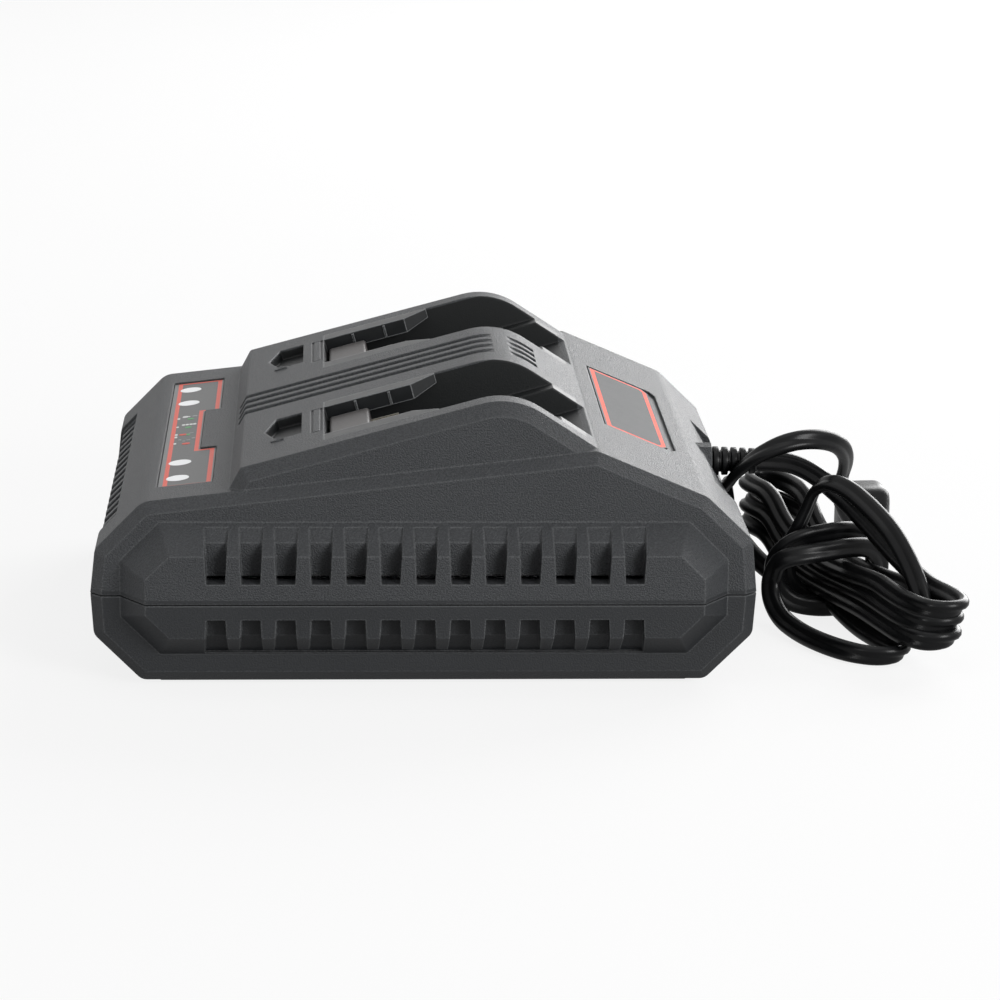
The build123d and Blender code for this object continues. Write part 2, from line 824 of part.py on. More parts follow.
# ================================================================== terminals
def make_terminal_block(y):
    """Block at the front of a channel that holds the contact blades."""
    start = channel_start + terminal_gap
    half = terminal_width / 2
    top = terminal_height - channel_depth
    head = block(deck_plane, (start, start + terminal_length), (y - half, y + half),
                 (-channel_depth, top))
    head = fillet(head.edges().filter_by(Axis.Y).sort_by(Axis.Z)[-2:], 1.0)
    neck = block(deck_plane, (neck_start, neck_start + neck_length),
                 (y - neck_width / 2, y + neck_width / 2),
                 (-channel_depth - neck_depth, -channel_depth))
    return head + neck - blade_boxes(y)


def blade_boxes(y):
    """Contact blades of one bay, seated in the block and standing out to the rear."""
    end = channel_start + terminal_gap + terminal_length
    low = -channel_depth + blade_raise
    boxes = []
    for step in row(blade_count, blade_pitch):
        middle = y + step
        boxes.append(block(deck_plane, (end - blade_seat, end + blade_reach),
                           (middle - blade_thickness / 2, middle + blade_thickness / 2),
                           (low, low + blade_height)))
    return boxes


# ================================================================== boards and what they carry
board_top = board_z + board_thickness


def make_main_board():
    board = block(Plane.XY, (board_front_x, board_front_x + board_length),
                  (-board_width / 2, board_width / 2), (board_z, board_top))
    return board - [post(x, y, screw_radius + screw_clearance, board_z - 1, board_top + 1)
                    for x, y in standoff_places]


def make_board_screws():
    screws = []
    for x, y in standoff_places:
        head = post(x, y, screw_head_radius, board_top, board_top + board_screw_head_height)
        shank = post(x, y, screw_radius, board_top - board_screw_length, board_top)
        screws.append(head + shank)
    return screws


def make_status_board():
    start = status_board_start
    return block(status_plane, (start, start + status_board_length),
                 (-status_board_width / 2, status_board_width / 2),
                 (-status_board_drop - board_thickness, -status_board_drop))


def make_status_leds():
    half = led_size / 2
    return [block(status_plane, (x - half, x + half), (y - half, y + half),
                  (-status_board_drop, -status_board_drop + led_height))
            for x, y in lens_places]


def make_transformer_core():
    x = transformer_x
    low, high = board_top, board_top + core_height
    core = block(Plane.XY, (x - core_length / 2, x + core_length / 2),
                 (-core_width / 2, core_width / 2), (low, high))
    windows = []
    for side in (-1, 1):
        inner = x + side * core_leg / 2
        outer = x + side * (core_length / 2 - core_yoke)
        windows.append(block(Plane.XY, sorted((inner, outer)), (-core_width, core_width),
                             (low + core_yoke, high - core_yoke)))
    return core - windows


def make_transformer_winding():
    x = transformer_x
    low = board_top + core_yoke + winding_gap
    high = board_top + core_height - core_yoke - winding_gap
    leg_x = core_leg / 2 + winding_gap
    leg_y = core_width / 2 + winding_gap
    coil = block(Plane.XY, (x - leg_x - winding_build, x + leg_x + winding_build),
                 (-leg_y - winding_build, leg_y + winding_build), (low, high))
    coil = fillet(coil.edges().filter_by(Axis.Z), winding_build / 2)
    return coil - block(Plane.XY, (x - leg_x, x + leg_x), (-leg_y, leg_y), (low - 1, high + 1))


def make_can(x, y, radius, height):
    """Electrolytic capacitor, standing on the board."""
    return post(x, y, radius, board_top, board_top + height)


def make_heatsink(side):
    """Extruded comb: a plate towards the middle of the board, fins towards its edge."""
    y = side * heatsink_y
    outer = y + side * heatsink_plate
    sink = block(Plane.XY, (heatsink_x - heatsink_length / 2, heatsink_x + heatsink_length / 2),
                 sorted((y, outer)), (board_top, board_top + heatsink_height))
    pitch = (heatsink_length - heatsink_fin_thickness) / (heatsink_fins - 1)
    half = heatsink_fin_thickness / 2
    for x in row(heatsink_fins, pitch):
        sink += block(Plane.XY, (heatsink_x + x - half, heatsink_x + x + half),
                      sorted((outer, outer + side * heatsink_fin_reach)),
                      (board_top, board_top + heatsink_height))
    return sink


def make_power_transistors():
    """Packages that stand on the board against the heatsinks' plates."""
    packages = []
    half = transistor_width / 2
    for side in (-1, 1):
        inner = side * (heatsink_y - transistor_depth)
        for x in row(3, transistor_pitch):
            packages.append(block(Plane.XY, (heatsink_x + x - half, heatsink_x + x + half),
                                  sorted((inner, side * heatsink_y)),
                                  (board_top, board_top + transistor_height)))
    return packages


def make_emi_choke():
    x = board_rear_x - choke_inset
    ring = post(x, 0, choke_radius, board_top, board_top + choke_height)
    return ring - post(x, 0, choke_hole, board_top - 1, board_top + choke_height + 1)


def make_line_filter():
    x = board_rear_x - line_filter_inset
    return block(Plane.XY, (x - line_filter_length / 2, x + line_filter_length / 2),
                 (line_filter_y - line_filter_width / 2, line_filter_y + line_filter_width / 2),
                 (board_top, board_top + line_filter_height))


def make_fuse():
    """Cartridge fuse along Y, with a wider metal cap on each end that lies on the board."""
    cap_radius = fuse_radius + fuse_cap_wall
    lying = Pos(board_rear_x - fuse_inset, fuse_y, board_top + cap_radius) * Rot(90, 0, 0)
    end = fuse_length / 2
    fuse = lying * post(0, 0, fuse_radius, -end, end)
    for low in (-end, end - fuse_cap_length):
        fuse += lying * post(0, 0, cap_radius, low, low + fuse_cap_length)
    return fuse


def make_inlet_connector():
    x = board_rear_x - inlet_inset
    return block(Plane.XY, (x - inlet_length / 2, x + inlet_length / 2),
                 (-inlet_width / 2, inlet_width / 2), (board_top, board_top + inlet_height))


# ================================================================== fan
fan_z = floor_z + fan_size / 2
fan_front_x = fan_back_x - fan_depth
fan_axis = Plane(origin=(fan_front_x, 0, fan_z), x_dir=(0, 1, 0), z_dir=(1, 0, 0))


def along_fan(radius, low, high):
    """Cylinder on the fan's axis, measured back from the fan's front face."""
    return fan_axis.location * rod(0, 0, radius, low, high)


def make_fan_frame():
    frame = block(Plane.XY, (fan_front_x, fan_back_x), (-fan_size / 2, fan_size / 2),
                  (floor_z, floor_z + fan_size))
    frame -= along_fan(fan_bore_radius, -1, fan_depth + 1)
    strut_start = fan_depth - fan_strut_depth
    struts = []
    for angle in (30, 150, 270):
        bar = block(Plane.XY, (0, fan_bore_radius + 1), (-fan_strut_width / 2, fan_strut_width / 2),
                    (strut_start, fan_depth))
        struts.append(fan_axis.location * Rot(0, 0, angle) * bar)
    frame += struts
    frame += along_fan(fan_hub_radius, strut_start, fan_depth)
    frame += along_fan(fan_bearing_radius, fan_depth - fan_hub_length, fan_depth)
    return frame - along_fan(fan_shaft_radius + fan_bearing_clearance, 0, fan_depth + 1)


def make_fan_impeller():
    """Hub cup, pitched blades and the shaft that runs in the frame's bearing."""
    hub_end = fan_depth - fan_strut_depth - 0.6
    hub_start = hub_end - fan_hub_length
    hub = along_fan(fan_hub_radius, hub_start, hub_end)
    hub -= along_fan(fan_hub_radius - fan_hub_wall, hub_start + fan_hub_wall, hub_end + 1)
    wheel = hub + along_fan(fan_shaft_radius, hub_start + fan_hub_wall / 2, fan_depth - 0.5)
    blades = []
    middle = (hub_start + hub_end) / 2
    for index in range(fan_blade_count):
        turn = Rot(0, 0, index * 360 / fan_blade_count)
        root = fan_hub_radius - fan_hub_wall / 2
        plate = Pos((root + fan_bore_radius) / 2, 0, middle) * Rot(fan_blade_pitch, 0, 0) * Box(
            fan_bore_radius - root, fan_blade_thickness, fan_blade_chord)
        blades.append(fan_axis.location * turn * plate)
    sweep_space = along_fan(fan_tip_radius, hub_start, hub_end)
    sweep_space -= along_fan(fan_hub_radius - fan_hub_wall / 2, hub_start - 1, hub_end + 1)
    return wheel + ((Part() + blades) & sweep_space)


def fan_cradle():
    """Two pairs of posts on the floor that the fan frame drops between."""
    posts = []
    for x in (fan_front_x - fan_cradle_gap - fan_cradle_wall, fan_back_x + fan_cradle_gap):
        for side in (-1, 1):
            inner = side * fan_size / 4
            outer = side * (fan_size / 2 + fan_cradle_wall)
            posts.append(block(Plane.XY, (x, x + fan_cradle_wall), sorted((inner, outer)),
                               (floor_z - 1, floor_z + fan_cradle_height)))
    return posts


# ================================================================== strain relief and cord
def make_strain_relief():
    """Tapered, slotted grommet round the cord, held by a flange inside the wall."""
    slotted_from = gland_length - gland_slots * gland_slot_pitch
    relief = post(0, 0, gland_flange_radius, 0, gland_flange)
    relief += post(0, 0, gland_root_radius, gland_flange, slotted_from)
    relief += loft([Pos(0, 0, slotted_from) * RegularPolygon(gland_root_radius, post_sides),
                    Pos(0, 0, gland_length) * RegularPolygon(gland_tip_radius, post_sides)])
    slots = []
    for index in range(gland_slots):
        middle = slotted_from + index * gland_slot_pitch
        core = cord_width / 2 + gland_slot_core
        sides = Rot(0, 0, 90 * (index % 2))
        for sign in (-1, 1):
            gap = Box(2 * gland_root_radius, gland_root_radius, gland_slot_width)
            slots.append(sides * Pos(0, sign * (core + gland_root_radius / 2), middle) * gap)
    return Pos(gland_x, 0, gland_z) * Rot(0, 90, 0) * (relief - slots)


def cord_tube(points):
    """Free cord along straight runs and the largest tangent arcs between them."""
    radii = []
    for before, corner, after in zip(points, points[1:], points[2:]):
        arriving = Vector(*corner) - Vector(*before)
        leaving = Vector(*after) - Vector(*corner)
        half_turn = radians(arriving.get_angle(leaving)) / 2
        radii.append(0.45 * min(arriving.length, leaving.length) / tan(half_turn))
    path = FilletPolyline(*points, radius=radii)
    print("cord radii", [round(radius, 1) for radius in radii], "length", round(path.length, 1))
    start = Plane(origin=points[0], z_dir=Vector(*points[1]) - Vector(*points[0]))
    section = start * RegularPolygon(cord_width / 2, cord_facets, major_radius=False)
    tube = sweep(section, path=path, transition=Transition.RIGHT)
    print("volume over section times length",
          round(tube.volume / (section.area * path.length), 4))
    return tube


# Routes of the loose stretches, from the strain relief to the plug
gland_tip = (gland_x + gland_length, 0, gland_z)
run_points = [
    gland_tip, (124, 0, gland_z), (136, -5, 45), (146, -14, 37), (151.5, -26, 28), (153, -41, 18),
]
cross_points = [
    (131, -3, 24), (129.5, -6, 33), (129.5, -10, 42), (133, -16, 47), (139, -22, 46.5),
    (146, -34, 41), (153, -48, 36), (159, -61, 29), (163, -71, 20),
]
lower_points = [
    (155, -73, 8), (152, -79, 4), (143, -80, 3.6), (132, -66, 3.6), (123, -47, 3.6),
    (116.5, -31, 4.2), (113.5, -21, 10.5), (115, -21, 19),
]
upper_points = [
    (116, 48, 26), (111, 46, 34), (106, 36, 37), (105.2, 21, 37.2), (105.2, 6, 38.6),
    (105.8, -7, 42.2), (109, -12, 51.5), (115, -14, 57), (122.5, -14, 60.5), (130.5, -12, 61),
    (138, -6, 58.5), (143, 2.5, 52.5), (145, 12, 44.5), (145.5, 20, 36), (148, 28, 27),
    (152, 35, 19), (157, 41, 14), (159, 48, 12.5),
]

# Hank: the rest of the cord, in long turns bound round the middle
hank_start = Plane(origin=(118, 52, 0), x_dir=(0.312, -0.95, 0), z_dir=(0, 0, 1))
hank_length = 147.0
hank_middle = 68.0
hank_low = 1.0
hank_round = 8.0
band_length = 16.0
band_width = 37.0
band_height = 25.0


def make_power_cord_hank():
    """Outer shape of the hank and of the turns that bind its middle."""
    plan = make_face(Polyline(
        (0, -6), (10, -10), (hank_middle, -16), (100, -15), (hank_length - 8, -9), (hank_length, -3),
        (hank_length, 5), (hank_length - 8, 10), (hank_middle, 13), (10, 10), (0, 6), close=True))
    side = make_face(Polyline(
        (8, hank_low), (hank_length - 12, hank_low), (hank_length, 6), (hank_length, 20),
        (hank_length - 10, 25), (110, 28), (hank_middle, 23), (14, 38), (5, 38), (0, 30), (0, 12),
        close=True))
    body = extrude(plan, 60) & (Plane.XZ * extrude(side, 60, both=True))
    band = Pos(hank_middle, 0, hank_low + band_height / 2) * Box(
        band_length, band_width, band_height)
    band = fillet(band.edges().filter_by(Axis.X), hank_round)
    return hank_start.location * (body + band)


# Plug: flat moulded body, standing on its edge behind the hank
plug_length = 27.0
plug_width = 25.0
plug_place = Plane(origin=(159, 48, plug_width / 2), x_dir=(-0.1, 0.995, 0), z_dir=(0.995, 0.1, 0))
plug_neck_width = 11.0
plug_height = 14.0
plug_blade_length = 16.0
plug_blade_width = 6.4
plug_blade_thickness = 1.5
plug_blade_pitch = 12.7


def make_plug_body():
    """Moulded body, narrow at the cord and wide at the blades."""
    half = plug_width / 2
    neck = plug_neck_width / 2
    plan = make_face(Polyline(
        (0, -neck), (6, -neck), (14, -half), (plug_length, -half),
        (plug_length, half), (14, half), (6, neck), (0, neck), close=True))
    body = Pos(0, 0, -plug_height / 2) * extrude(plan, plug_height)
    return plug_place.location * chamfer(body.edges().filter_by(Axis.Z, reverse=True), 1.0)


def make_plug_blades():
    blades = []
    for y in (-plug_blade_pitch / 2, plug_blade_pitch / 2):
        blades.append(block(plug_place, (plug_length, plug_length + plug_blade_length),
                            (y - plug_blade_thickness / 2, y + plug_blade_thickness / 2),
                            (-plug_blade_width / 2, plug_blade_width / 2)))
    return blades


# ================================================================== output
parts = {
    "base_shell": make_base_shell(),
    "top_shell": make_top_shell(),
    "rubber_feet": make_rubber_feet(),
    "housing_screws": make_housing_screws(),
    "status_overlay": make_status_overlay(),
    "light_pipes": make_light_pipes(),
    "rear_badge": make_rear_badge(),
    "guide_rails_left": make_guide_rails(-bay_y),
    "guide_rails_right": make_guide_rails(bay_y),
    "terminal_block_left": make_terminal_block(-bay_y),
    "terminal_block_right": make_terminal_block(bay_y),
    "contact_blades_left": blade_boxes(-bay_y),
    "contact_blades_right": blade_boxes(bay_y),
    "main_board": make_main_board(),
    "board_screws": make_board_screws(),
    "status_board": make_status_board(),
    "status_leds": make_status_leds(),
    "transformer_core": make_transformer_core(),
    "transformer_winding": make_transformer_winding(),
    "bulk_capacitors": [make_can(board_rear_x - bulk_inset, y, bulk_radius, bulk_height)
                        for y in (-bulk_y, bulk_y)],
    "output_capacitors": [make_can(board_front_x + output_cap_inset, y, output_cap_radius,
                                   output_cap_height) for y in row(4, output_cap_pitch)],
    "primary_heatsink": make_heatsink(1),
    "output_heatsink": make_heatsink(-1),
    "power_transistors": make_power_transistors(),
    "emi_choke": make_emi_choke(),
    "line_filter_capacitor": make_line_filter(),
    "fuse": make_fuse(),
    "inlet_connector": make_inlet_connector(),
    "fan_frame": make_fan_frame(),
    "fan_impeller": make_fan_impeller(),
    "strain_relief": make_strain_relief(),
    "power_cord_run": cord_tube(run_points) - make_power_cord_hank(),
    "power_cord_cross_strand": cord_tube(cross_points) - make_power_cord_hank(),
    "power_cord_lower_loop": cord_tube(lower_points) - make_power_cord_hank(),
    "power_cord_upper_loop": cord_tube(upper_points) - make_power_cord_hank() - make_plug_body(),
    "power_cord_hank": make_power_cord_hank(),
    "plug_body": make_plug_body(),
    "plug_blades": make_plug_blades(),
}

os.makedirs("parts", exist_ok=True)
for name, shape in parts.items():
    solids = shape if isinstance(shape, list) else [shape]
    export_step(Compound([s for shape in solids for s in shape.solids()]), f"parts/{name}.step")
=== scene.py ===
import bpy
import math
from mathutils import Matrix, Vector


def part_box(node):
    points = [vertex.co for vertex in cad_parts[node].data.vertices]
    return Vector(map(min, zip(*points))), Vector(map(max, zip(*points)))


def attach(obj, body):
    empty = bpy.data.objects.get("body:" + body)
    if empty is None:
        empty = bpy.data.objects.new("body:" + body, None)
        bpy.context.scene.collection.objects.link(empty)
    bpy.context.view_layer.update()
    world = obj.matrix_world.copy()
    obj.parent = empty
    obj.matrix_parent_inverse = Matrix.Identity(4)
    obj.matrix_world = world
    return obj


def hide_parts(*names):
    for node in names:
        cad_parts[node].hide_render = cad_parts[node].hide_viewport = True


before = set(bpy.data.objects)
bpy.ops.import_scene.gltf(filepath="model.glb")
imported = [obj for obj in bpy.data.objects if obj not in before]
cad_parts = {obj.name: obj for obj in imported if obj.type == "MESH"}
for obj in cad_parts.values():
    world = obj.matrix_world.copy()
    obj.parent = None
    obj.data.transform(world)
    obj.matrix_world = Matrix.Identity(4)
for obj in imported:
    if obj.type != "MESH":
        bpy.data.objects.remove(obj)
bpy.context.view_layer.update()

bpy.ops.object.select_all(action="DESELECT")

# ------------------------------------------------------------------ studio
# Soft white light from all round, a large soft lamp behind on the right and weaker ones above and
# in front, and a camera that looks down on the near side of the charger from a little way off.
scene = bpy.context.scene
scene.view_settings.view_transform = "Standard"

camera_place = Vector((-0.03113, -1.21625, 0.34598))
camera_yaw = math.radians(2.7433)        # towards +X from +Y
camera_pitch = math.radians(14.2754)     # down
camera_roll = math.radians(0.6695)
camera_data = bpy.data.cameras.new("camera")
camera_data.lens = 137.1
camera_data.sensor_width = 36
camera = bpy.data.objects.new("camera", camera_data)
scene.collection.objects.link(camera)
level_ahead = Vector((math.sin(camera_yaw), math.cos(camera_yaw), 0))
ahead = level_ahead * math.cos(camera_pitch) - Vector((0, 0, math.sin(camera_pitch)))
level_right = Vector((math.cos(camera_yaw), -math.sin(camera_yaw), 0))
level_up = level_right.cross(ahead)
right = level_right * math.cos(camera_roll) + level_up * math.sin(camera_roll)
up = level_up * math.cos(camera_roll) - level_right * math.sin(camera_roll)
camera_turn = Matrix((right, up, -ahead)).transposed().to_4x4()
camera.matrix_world = Matrix.Translation(camera_place) @ camera_turn
scene.camera = camera


def add_lamp(name, place, aim, size, power):
    """Square soft lamp; its size is in metres and its power in watts."""
    lamp_data = bpy.data.lights.new(name, "AREA")
    lamp_data.size = size
    lamp_data.energy = power
    lamp = bpy.data.objects.new(name, lamp_data)
    scene.collection.objects.link(lamp)
    lamp.location = place
    lamp.rotation_euler = (Vector(aim) - Vector(place)).to_track_quat("-Z", "Y").to_euler()


add_lamp("rear_lamp", (1.10, 1.45, 0.80), (0.05, 0, 0.05), 1.4, 46)
add_lamp("top_lamp", (-0.1, -0.2, 1.6), (0, 0, 0), 1.0, 3)
add_lamp("left_lamp", (-1.5, -0.8, 0.12), (0, 0, 0.03), 0.6, 10)
add_lamp("right_lamp", (1.1, -1.4, 0.60), (0, 0, 0.03), 0.8, 27)


class Value:
    """A node's output; arithmetic and comparisons on it add Math nodes."""

    def __init__(self, shading, socket):
        self.shading = shading
        self.socket = socket

    def maths(self, operation, first, second=0.0):
        return self.shading.node("Math", {"operation": operation}, {0: first, 1: second})

    def __add__(self, other):
        return self.maths("ADD", self, other)

    __radd__ = __add__

    def __sub__(self, other):
        return self.maths("SUBTRACT", self, other)

    def __rsub__(self, other):
        return self.maths("SUBTRACT", other, self)

    def __mul__(self, other):
        return self.maths("MULTIPLY", self, other)

    __rmul__ = __mul__

    def __truediv__(self, other):
        return self.maths("DIVIDE", self, other)

    def __gt__(self, other):
        return self.maths("GREATER_THAN", self, other)

    def __lt__(self, other):
        return self.maths("LESS_THAN", self, other)

    def __abs__(self):
        return self.maths("ABSOLUTE", self)

    def least(self, other):
        return self.maths("MINIMUM", self, other)

    def most(self, other):
        return self.maths("MAXIMUM", self, other)

    def remainder(self, other):
        return self.maths("FLOORED_MODULO", self, other)


class Shading:
    """Shader nodes of the world or of a material; node() adds any node."""

    def __init__(self, owner):
        owner.use_nodes = True
        self.tree = owner.node_tree

    def node(self, kind, settings, sockets, output=0):
        """Any node: its settings are set first, then its sockets are fed."""
        node = self.tree.nodes.new("ShaderNode" + kind)
        for name, setting in settings.items():
            setattr(node, name, setting)
        self.feed(node, sockets)
        return Value(self, node.outputs[output])

    def feed(self, node, sockets):
        for name, value in sockets.items():
            if isinstance(value, Value):
                self.tree.links.new(value.socket, node.inputs[name])
            else:
                node.inputs[name].default_value = value

    def ray(self, kind):
        """1 for rays of this kind, and 0 for others."""
        return self.node("LightPath", {}, {}, "Is " + kind + " Ray")


# The world lights the charger softly, and camera, mirror and glass rays see it as a white backdrop
soft_light = 0.16
world = bpy.data.worlds.new("studio")
scene.world = world
sky = Shading(world)
ambient = sky.tree.nodes["Background"]
sky.feed(ambient, {"Color": (1, 1, 1, 1), "Strength": soft_light})
backdrop = sky.node("Background", {}, {"Color": (1, 1, 1, 1)})
seen = sky.ray("Camera").most(sky.ray("Glossy").most(sky.ray("Transmission")))
around = sky.node("MixShader", {}, {0: seen, 1: Value(sky, ambient.outputs[0]), 2: backdrop})
sky.feed(sky.tree.nodes["World Output"], {"Surface": around})

# ------------------------------------------------------------------ moulded housing
# Two shells of charcoal ABS with a fine spark-eroded texture on their outside and plain polished
# channels for the battery packs, whose colour is darkened with painted shade. Outside the channels
# the rounded edges are coloured lighter as a painted highlight, and the upper shell is coloured
# lighter than the lower one, partly for its stronger grain and partly as painted shade on the lower
# shell. The guide rails are of the same plastic, darkened with painted shade like the channels and
# with painted highlights on their edges.


class Finish(Shading):
    """A material being mixed; surface() feeds its main shader."""

    def __init__(self, name):
        self.material = bpy.data.materials.new(name)
        super().__init__(self.material)
        self.shader = self.tree.nodes["Principled BSDF"]

    def place(self):
        return self.node("TexCoord", {}, {}, "Object")

    def axes(self):
        """x, y and z of the place on the object, in metres."""
        place = self.place()
        return [self.node("SeparateXYZ", {}, {0: place}, name) for name in ("X", "Y", "Z")]

    def noise(self, size, detail=2.0):
        """Cloudy noise from 0 to 1 whose blots are about this many metres across."""
        sockets = {"Vector": self.place(), "Scale": 1 / size, "Detail": detail}
        return self.node("TexNoise", {}, sockets)

    def blend(self, share, first, second):
        """Colour that goes from the first to the second as share goes from 0 to 1."""
        return self.node("Mix", {"data_type": "RGBA"}, {0: share, 6: first, 7: second}, 2)

    def rounding(self, radius):
        """Normal of the surface with its edges rounded to this radius."""
        return self.node("Bevel", {"samples": 6}, {"Radius": radius})

    def edges(self, rounded):
        """1 on edges, where the rounded normal turns away from the flat one, and 0 elsewhere."""
        flat = self.node("NewGeometry", {}, {}, "Normal")
        cosine = self.node("VectorMath", {"operation": "DOT_PRODUCT"}, {0: rounded, 1: flat}, "Value")
        return self.node("MapRange", {}, {"Value": cosine, "From Min": 0.995, "From Max": 0.93})

    def bump(self, height, depth, rounded=None):
        """Normal of a surface that rises by depth metres where height goes from 0 to 1."""
        sockets = {"Height": height, "Distance": depth, "Strength": 1.0}
        if rounded:
            sockets["Normal"] = rounded
        return self.node("Bump", {}, sockets)

    def surface(self, **sockets):
        """Set the main shader's sockets, their names written with _ for a space."""
        self.feed(self.shader, {name.replace("_", " "): value for name, value in sockets.items()})
        return self.material


def dress(material, *nodes):
    """Give CAD nodes this material all over."""
    for node in nodes:
        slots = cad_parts[node].data.materials
        slots.clear()
        slots.append(material)


charcoal = (0.0085, 0.0095, 0.0110, 1)
charcoal_light = (0.047, 0.0495, 0.053, 1)
# Painted highlight: the light grey of the shells' rounded edges
painted_edge_highlight = (0.120, 0.124, 0.128, 1)
# Painted shade: the near black of the battery channels
painted_channel_shade = (0.0042, 0.0050, 0.0053, 1)
deck_start = Vector((-0.0564, 0, 0.068215))      # top of the step, where the deck starts to climb
deck_tilt = math.radians(15.3)
bay_y = 0.052                                    # middle of each bay
channel_half = 0.026
channel_start = 0.004                            # along the deck
channel_end = 0.0500                             # towards the rear
channel_lip = 0.0007                             # polished from this far below the deck
channel_wall = 0.0003                            # and this far into its walls
parting_height = 0.0312                          # the two shells meet here
grain_size = 0.0005
grain_depth = 0.00013
cloud_size = 0.03
edge_round = 0.0008

plastic = Finish("charcoal_plastic")
x, y, z = plastic.axes()
along = (x - deck_start.x) * math.cos(deck_tilt) + (z - deck_start.z) * math.sin(deck_tilt)
above = (z - deck_start.z) * math.cos(deck_tilt) - (x - deck_start.x) * math.sin(deck_tilt)
sideways = abs(abs(y) - bay_y)
across_channel = sideways < channel_half + channel_wall
in_channel = (above < -channel_lip) * across_channel * (along > channel_start) * (x < channel_end)
upper = z > parting_height
grain = plastic.noise(grain_size)
sparks = plastic.node("MapRange", {}, {"Value": grain, "From Min": 0.38, "From Max": 0.66})
clouds = plastic.noise(cloud_size)
rounded = plastic.rounding(edge_round)
# Painted highlight: the rounded edges outside the channels are coloured lighter, most on the grain's
# sparks
edge_highlight_share = plastic.edges(rounded) * (0.35 + 0.65 * sparks) * (1 - in_channel)
# The upper shell is coloured lighter than the lower one: partly its stronger grain, partly painted
# shade on the lower shell
lightness = sparks * (0.20 + 0.40 * upper) + clouds * 0.2 + 0.25 * upper
outside = plastic.blend(lightness, charcoal, charcoal_light)
outside = plastic.blend(edge_highlight_share * 0.8, outside, painted_edge_highlight)
dimples = sparks * (0.35 + 0.65 * upper) * (1 - 0.9 * in_channel)
# Painted shade: the battery channels are coloured near black
dress(plastic.surface(
    Base_Color=plastic.blend(in_channel, outside, painted_channel_shade),
    Roughness=0.46 + 0.12 * sparks - 0.06 * in_channel,
    Normal=plastic.bump(dimples, grain_depth, rounded),
    Specular_IOR_Level=0.34,
), "base_shell", "top_shell")

# Painted highlight: a light grey for the rounded edges of the rails
rail_edge_highlight = (0.26, 0.27, 0.275, 1)
rail_plastic = Finish("rail_plastic")
rounded = rail_plastic.rounding(0.0006)
streaks = rail_plastic.noise(0.004, 3.0)
# Painted shade: the rails' colour runs in streaks between the channels' painted near black and charcoal
rail_streaks_and_shade = rail_plastic.blend(streaks, painted_channel_shade, charcoal)
dress(rail_plastic.surface(
    Base_Color=rail_plastic.blend(rail_plastic.edges(rounded), rail_streaks_and_shade, rail_edge_highlight),
    Roughness=0.34 + 0.12 * streaks,
    Normal=rail_plastic.bump(streaks, 0.00003, rounded),
    Specular_IOR_Level=0.34,
), "guide_rails_left", "guide_rails_right")

# ------------------------------------------------------------------ rail ribs
# Thin upright ribs on the inner faces of the guide rails, two to a rail, which centre the pack.
# They are moulded in one with the rails, in the same plastic.
throat_half = 0.0188
rib_width = 0.0009
rib_reach = 0.00045
rib_height = 0.0042
rib_drop = 0.0026                # from the deck down to a rib's middle
rib_edge = 0.0002
rib_stations = (0.0365, 0.0475)  # along the deck


def pick(obj):
    """Make the object the only one picked, and the active one."""
    bpy.ops.object.select_all(action="DESELECT")
    obj.select_set(True)
    bpy.context.view_layer.objects.active = obj


def pick_faces(obj, test):
    """Go to edit mode with only the faces picked whose middle and normal pass the test."""
    pick(obj)
    for edge in obj.data.edges:
        edge.select = False
    for vertex in obj.data.vertices:
        vertex.select = False
    for face in obj.data.polygons:
        face.select = bool(test(face.center, face.normal))
    bpy.ops.object.mode_set(mode="EDIT")


def shape_at(obj, matrix):
    """Put the finished shape at its place, with the place kept in its mesh."""
    pick(obj)
    obj.matrix_world = matrix
    bpy.ops.object.transform_apply(location=True, rotation=True, scale=True)


def bevel_all(obj, width, segments=2):
    """Round every sharp edge and apply the rounding."""
    pick(obj)
    bevel = obj.modifiers.new("bevel", "BEVEL")
    bevel.width = width
    bevel.segments = segments
    bevel.limit_method = "ANGLE"
    bpy.ops.object.modifier_apply(modifier="bevel")


def join_as(name, pieces):
    """Join the pieces into one object of this name."""
    bpy.ops.object.select_all(action="DESELECT")
    for piece in pieces:
        piece.select_set(True)
    bpy.context.view_layer.objects.active = pieces[0]
    if len(pieces) > 1:
        bpy.ops.object.join()
    joined = bpy.context.view_layer.objects.active
    joined.name = name
    joined.data.name = name
    return joined


def repeat(piece, name, places):
    """Copy the piece to each place, each copy with its own mesh, and join them."""
    copies = []
    for place in places:
        copy = piece.copy()
        copy.data = piece.data.copy()
        scene.collection.objects.link(copy)
        shape_at(copy, place)
        copies.append(copy)
    bpy.data.objects.remove(piece)
    return join_as(name, copies)


def sloped_frame(start, tilt):
    """Frame with x along a slope that climbs by tilt from start, and z square to it."""
    return Matrix.Translation(start) @ Matrix.Rotation(-tilt, 4, "Y")


def finish_piece(obj, material, body="housing"):
    """Give a new piece its material and the body that it moves with."""
    obj.data.materials.clear()
    obj.data.materials.append(material)
    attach(obj, body)


deck_frame = sloped_frame(deck_start, deck_tilt)
rib_places = [deck_frame @ Matrix.Translation((station, bay + side * throat_half, -rib_drop))
              for bay in (-bay_y, bay_y) for side in (-1, 1) for station in rib_stations]
bpy.ops.mesh.primitive_cube_add(size=1)
rib = bpy.context.object
rib.dimensions = (rib_width, 2 * rib_reach, rib_height)
bpy.ops.object.transform_apply(scale=True)
bevel_all(rib, rib_edge)
rail_ribs = repeat(rib, "rail_ribs", rib_places)
finish_piece(rail_ribs, rail_plastic.material)

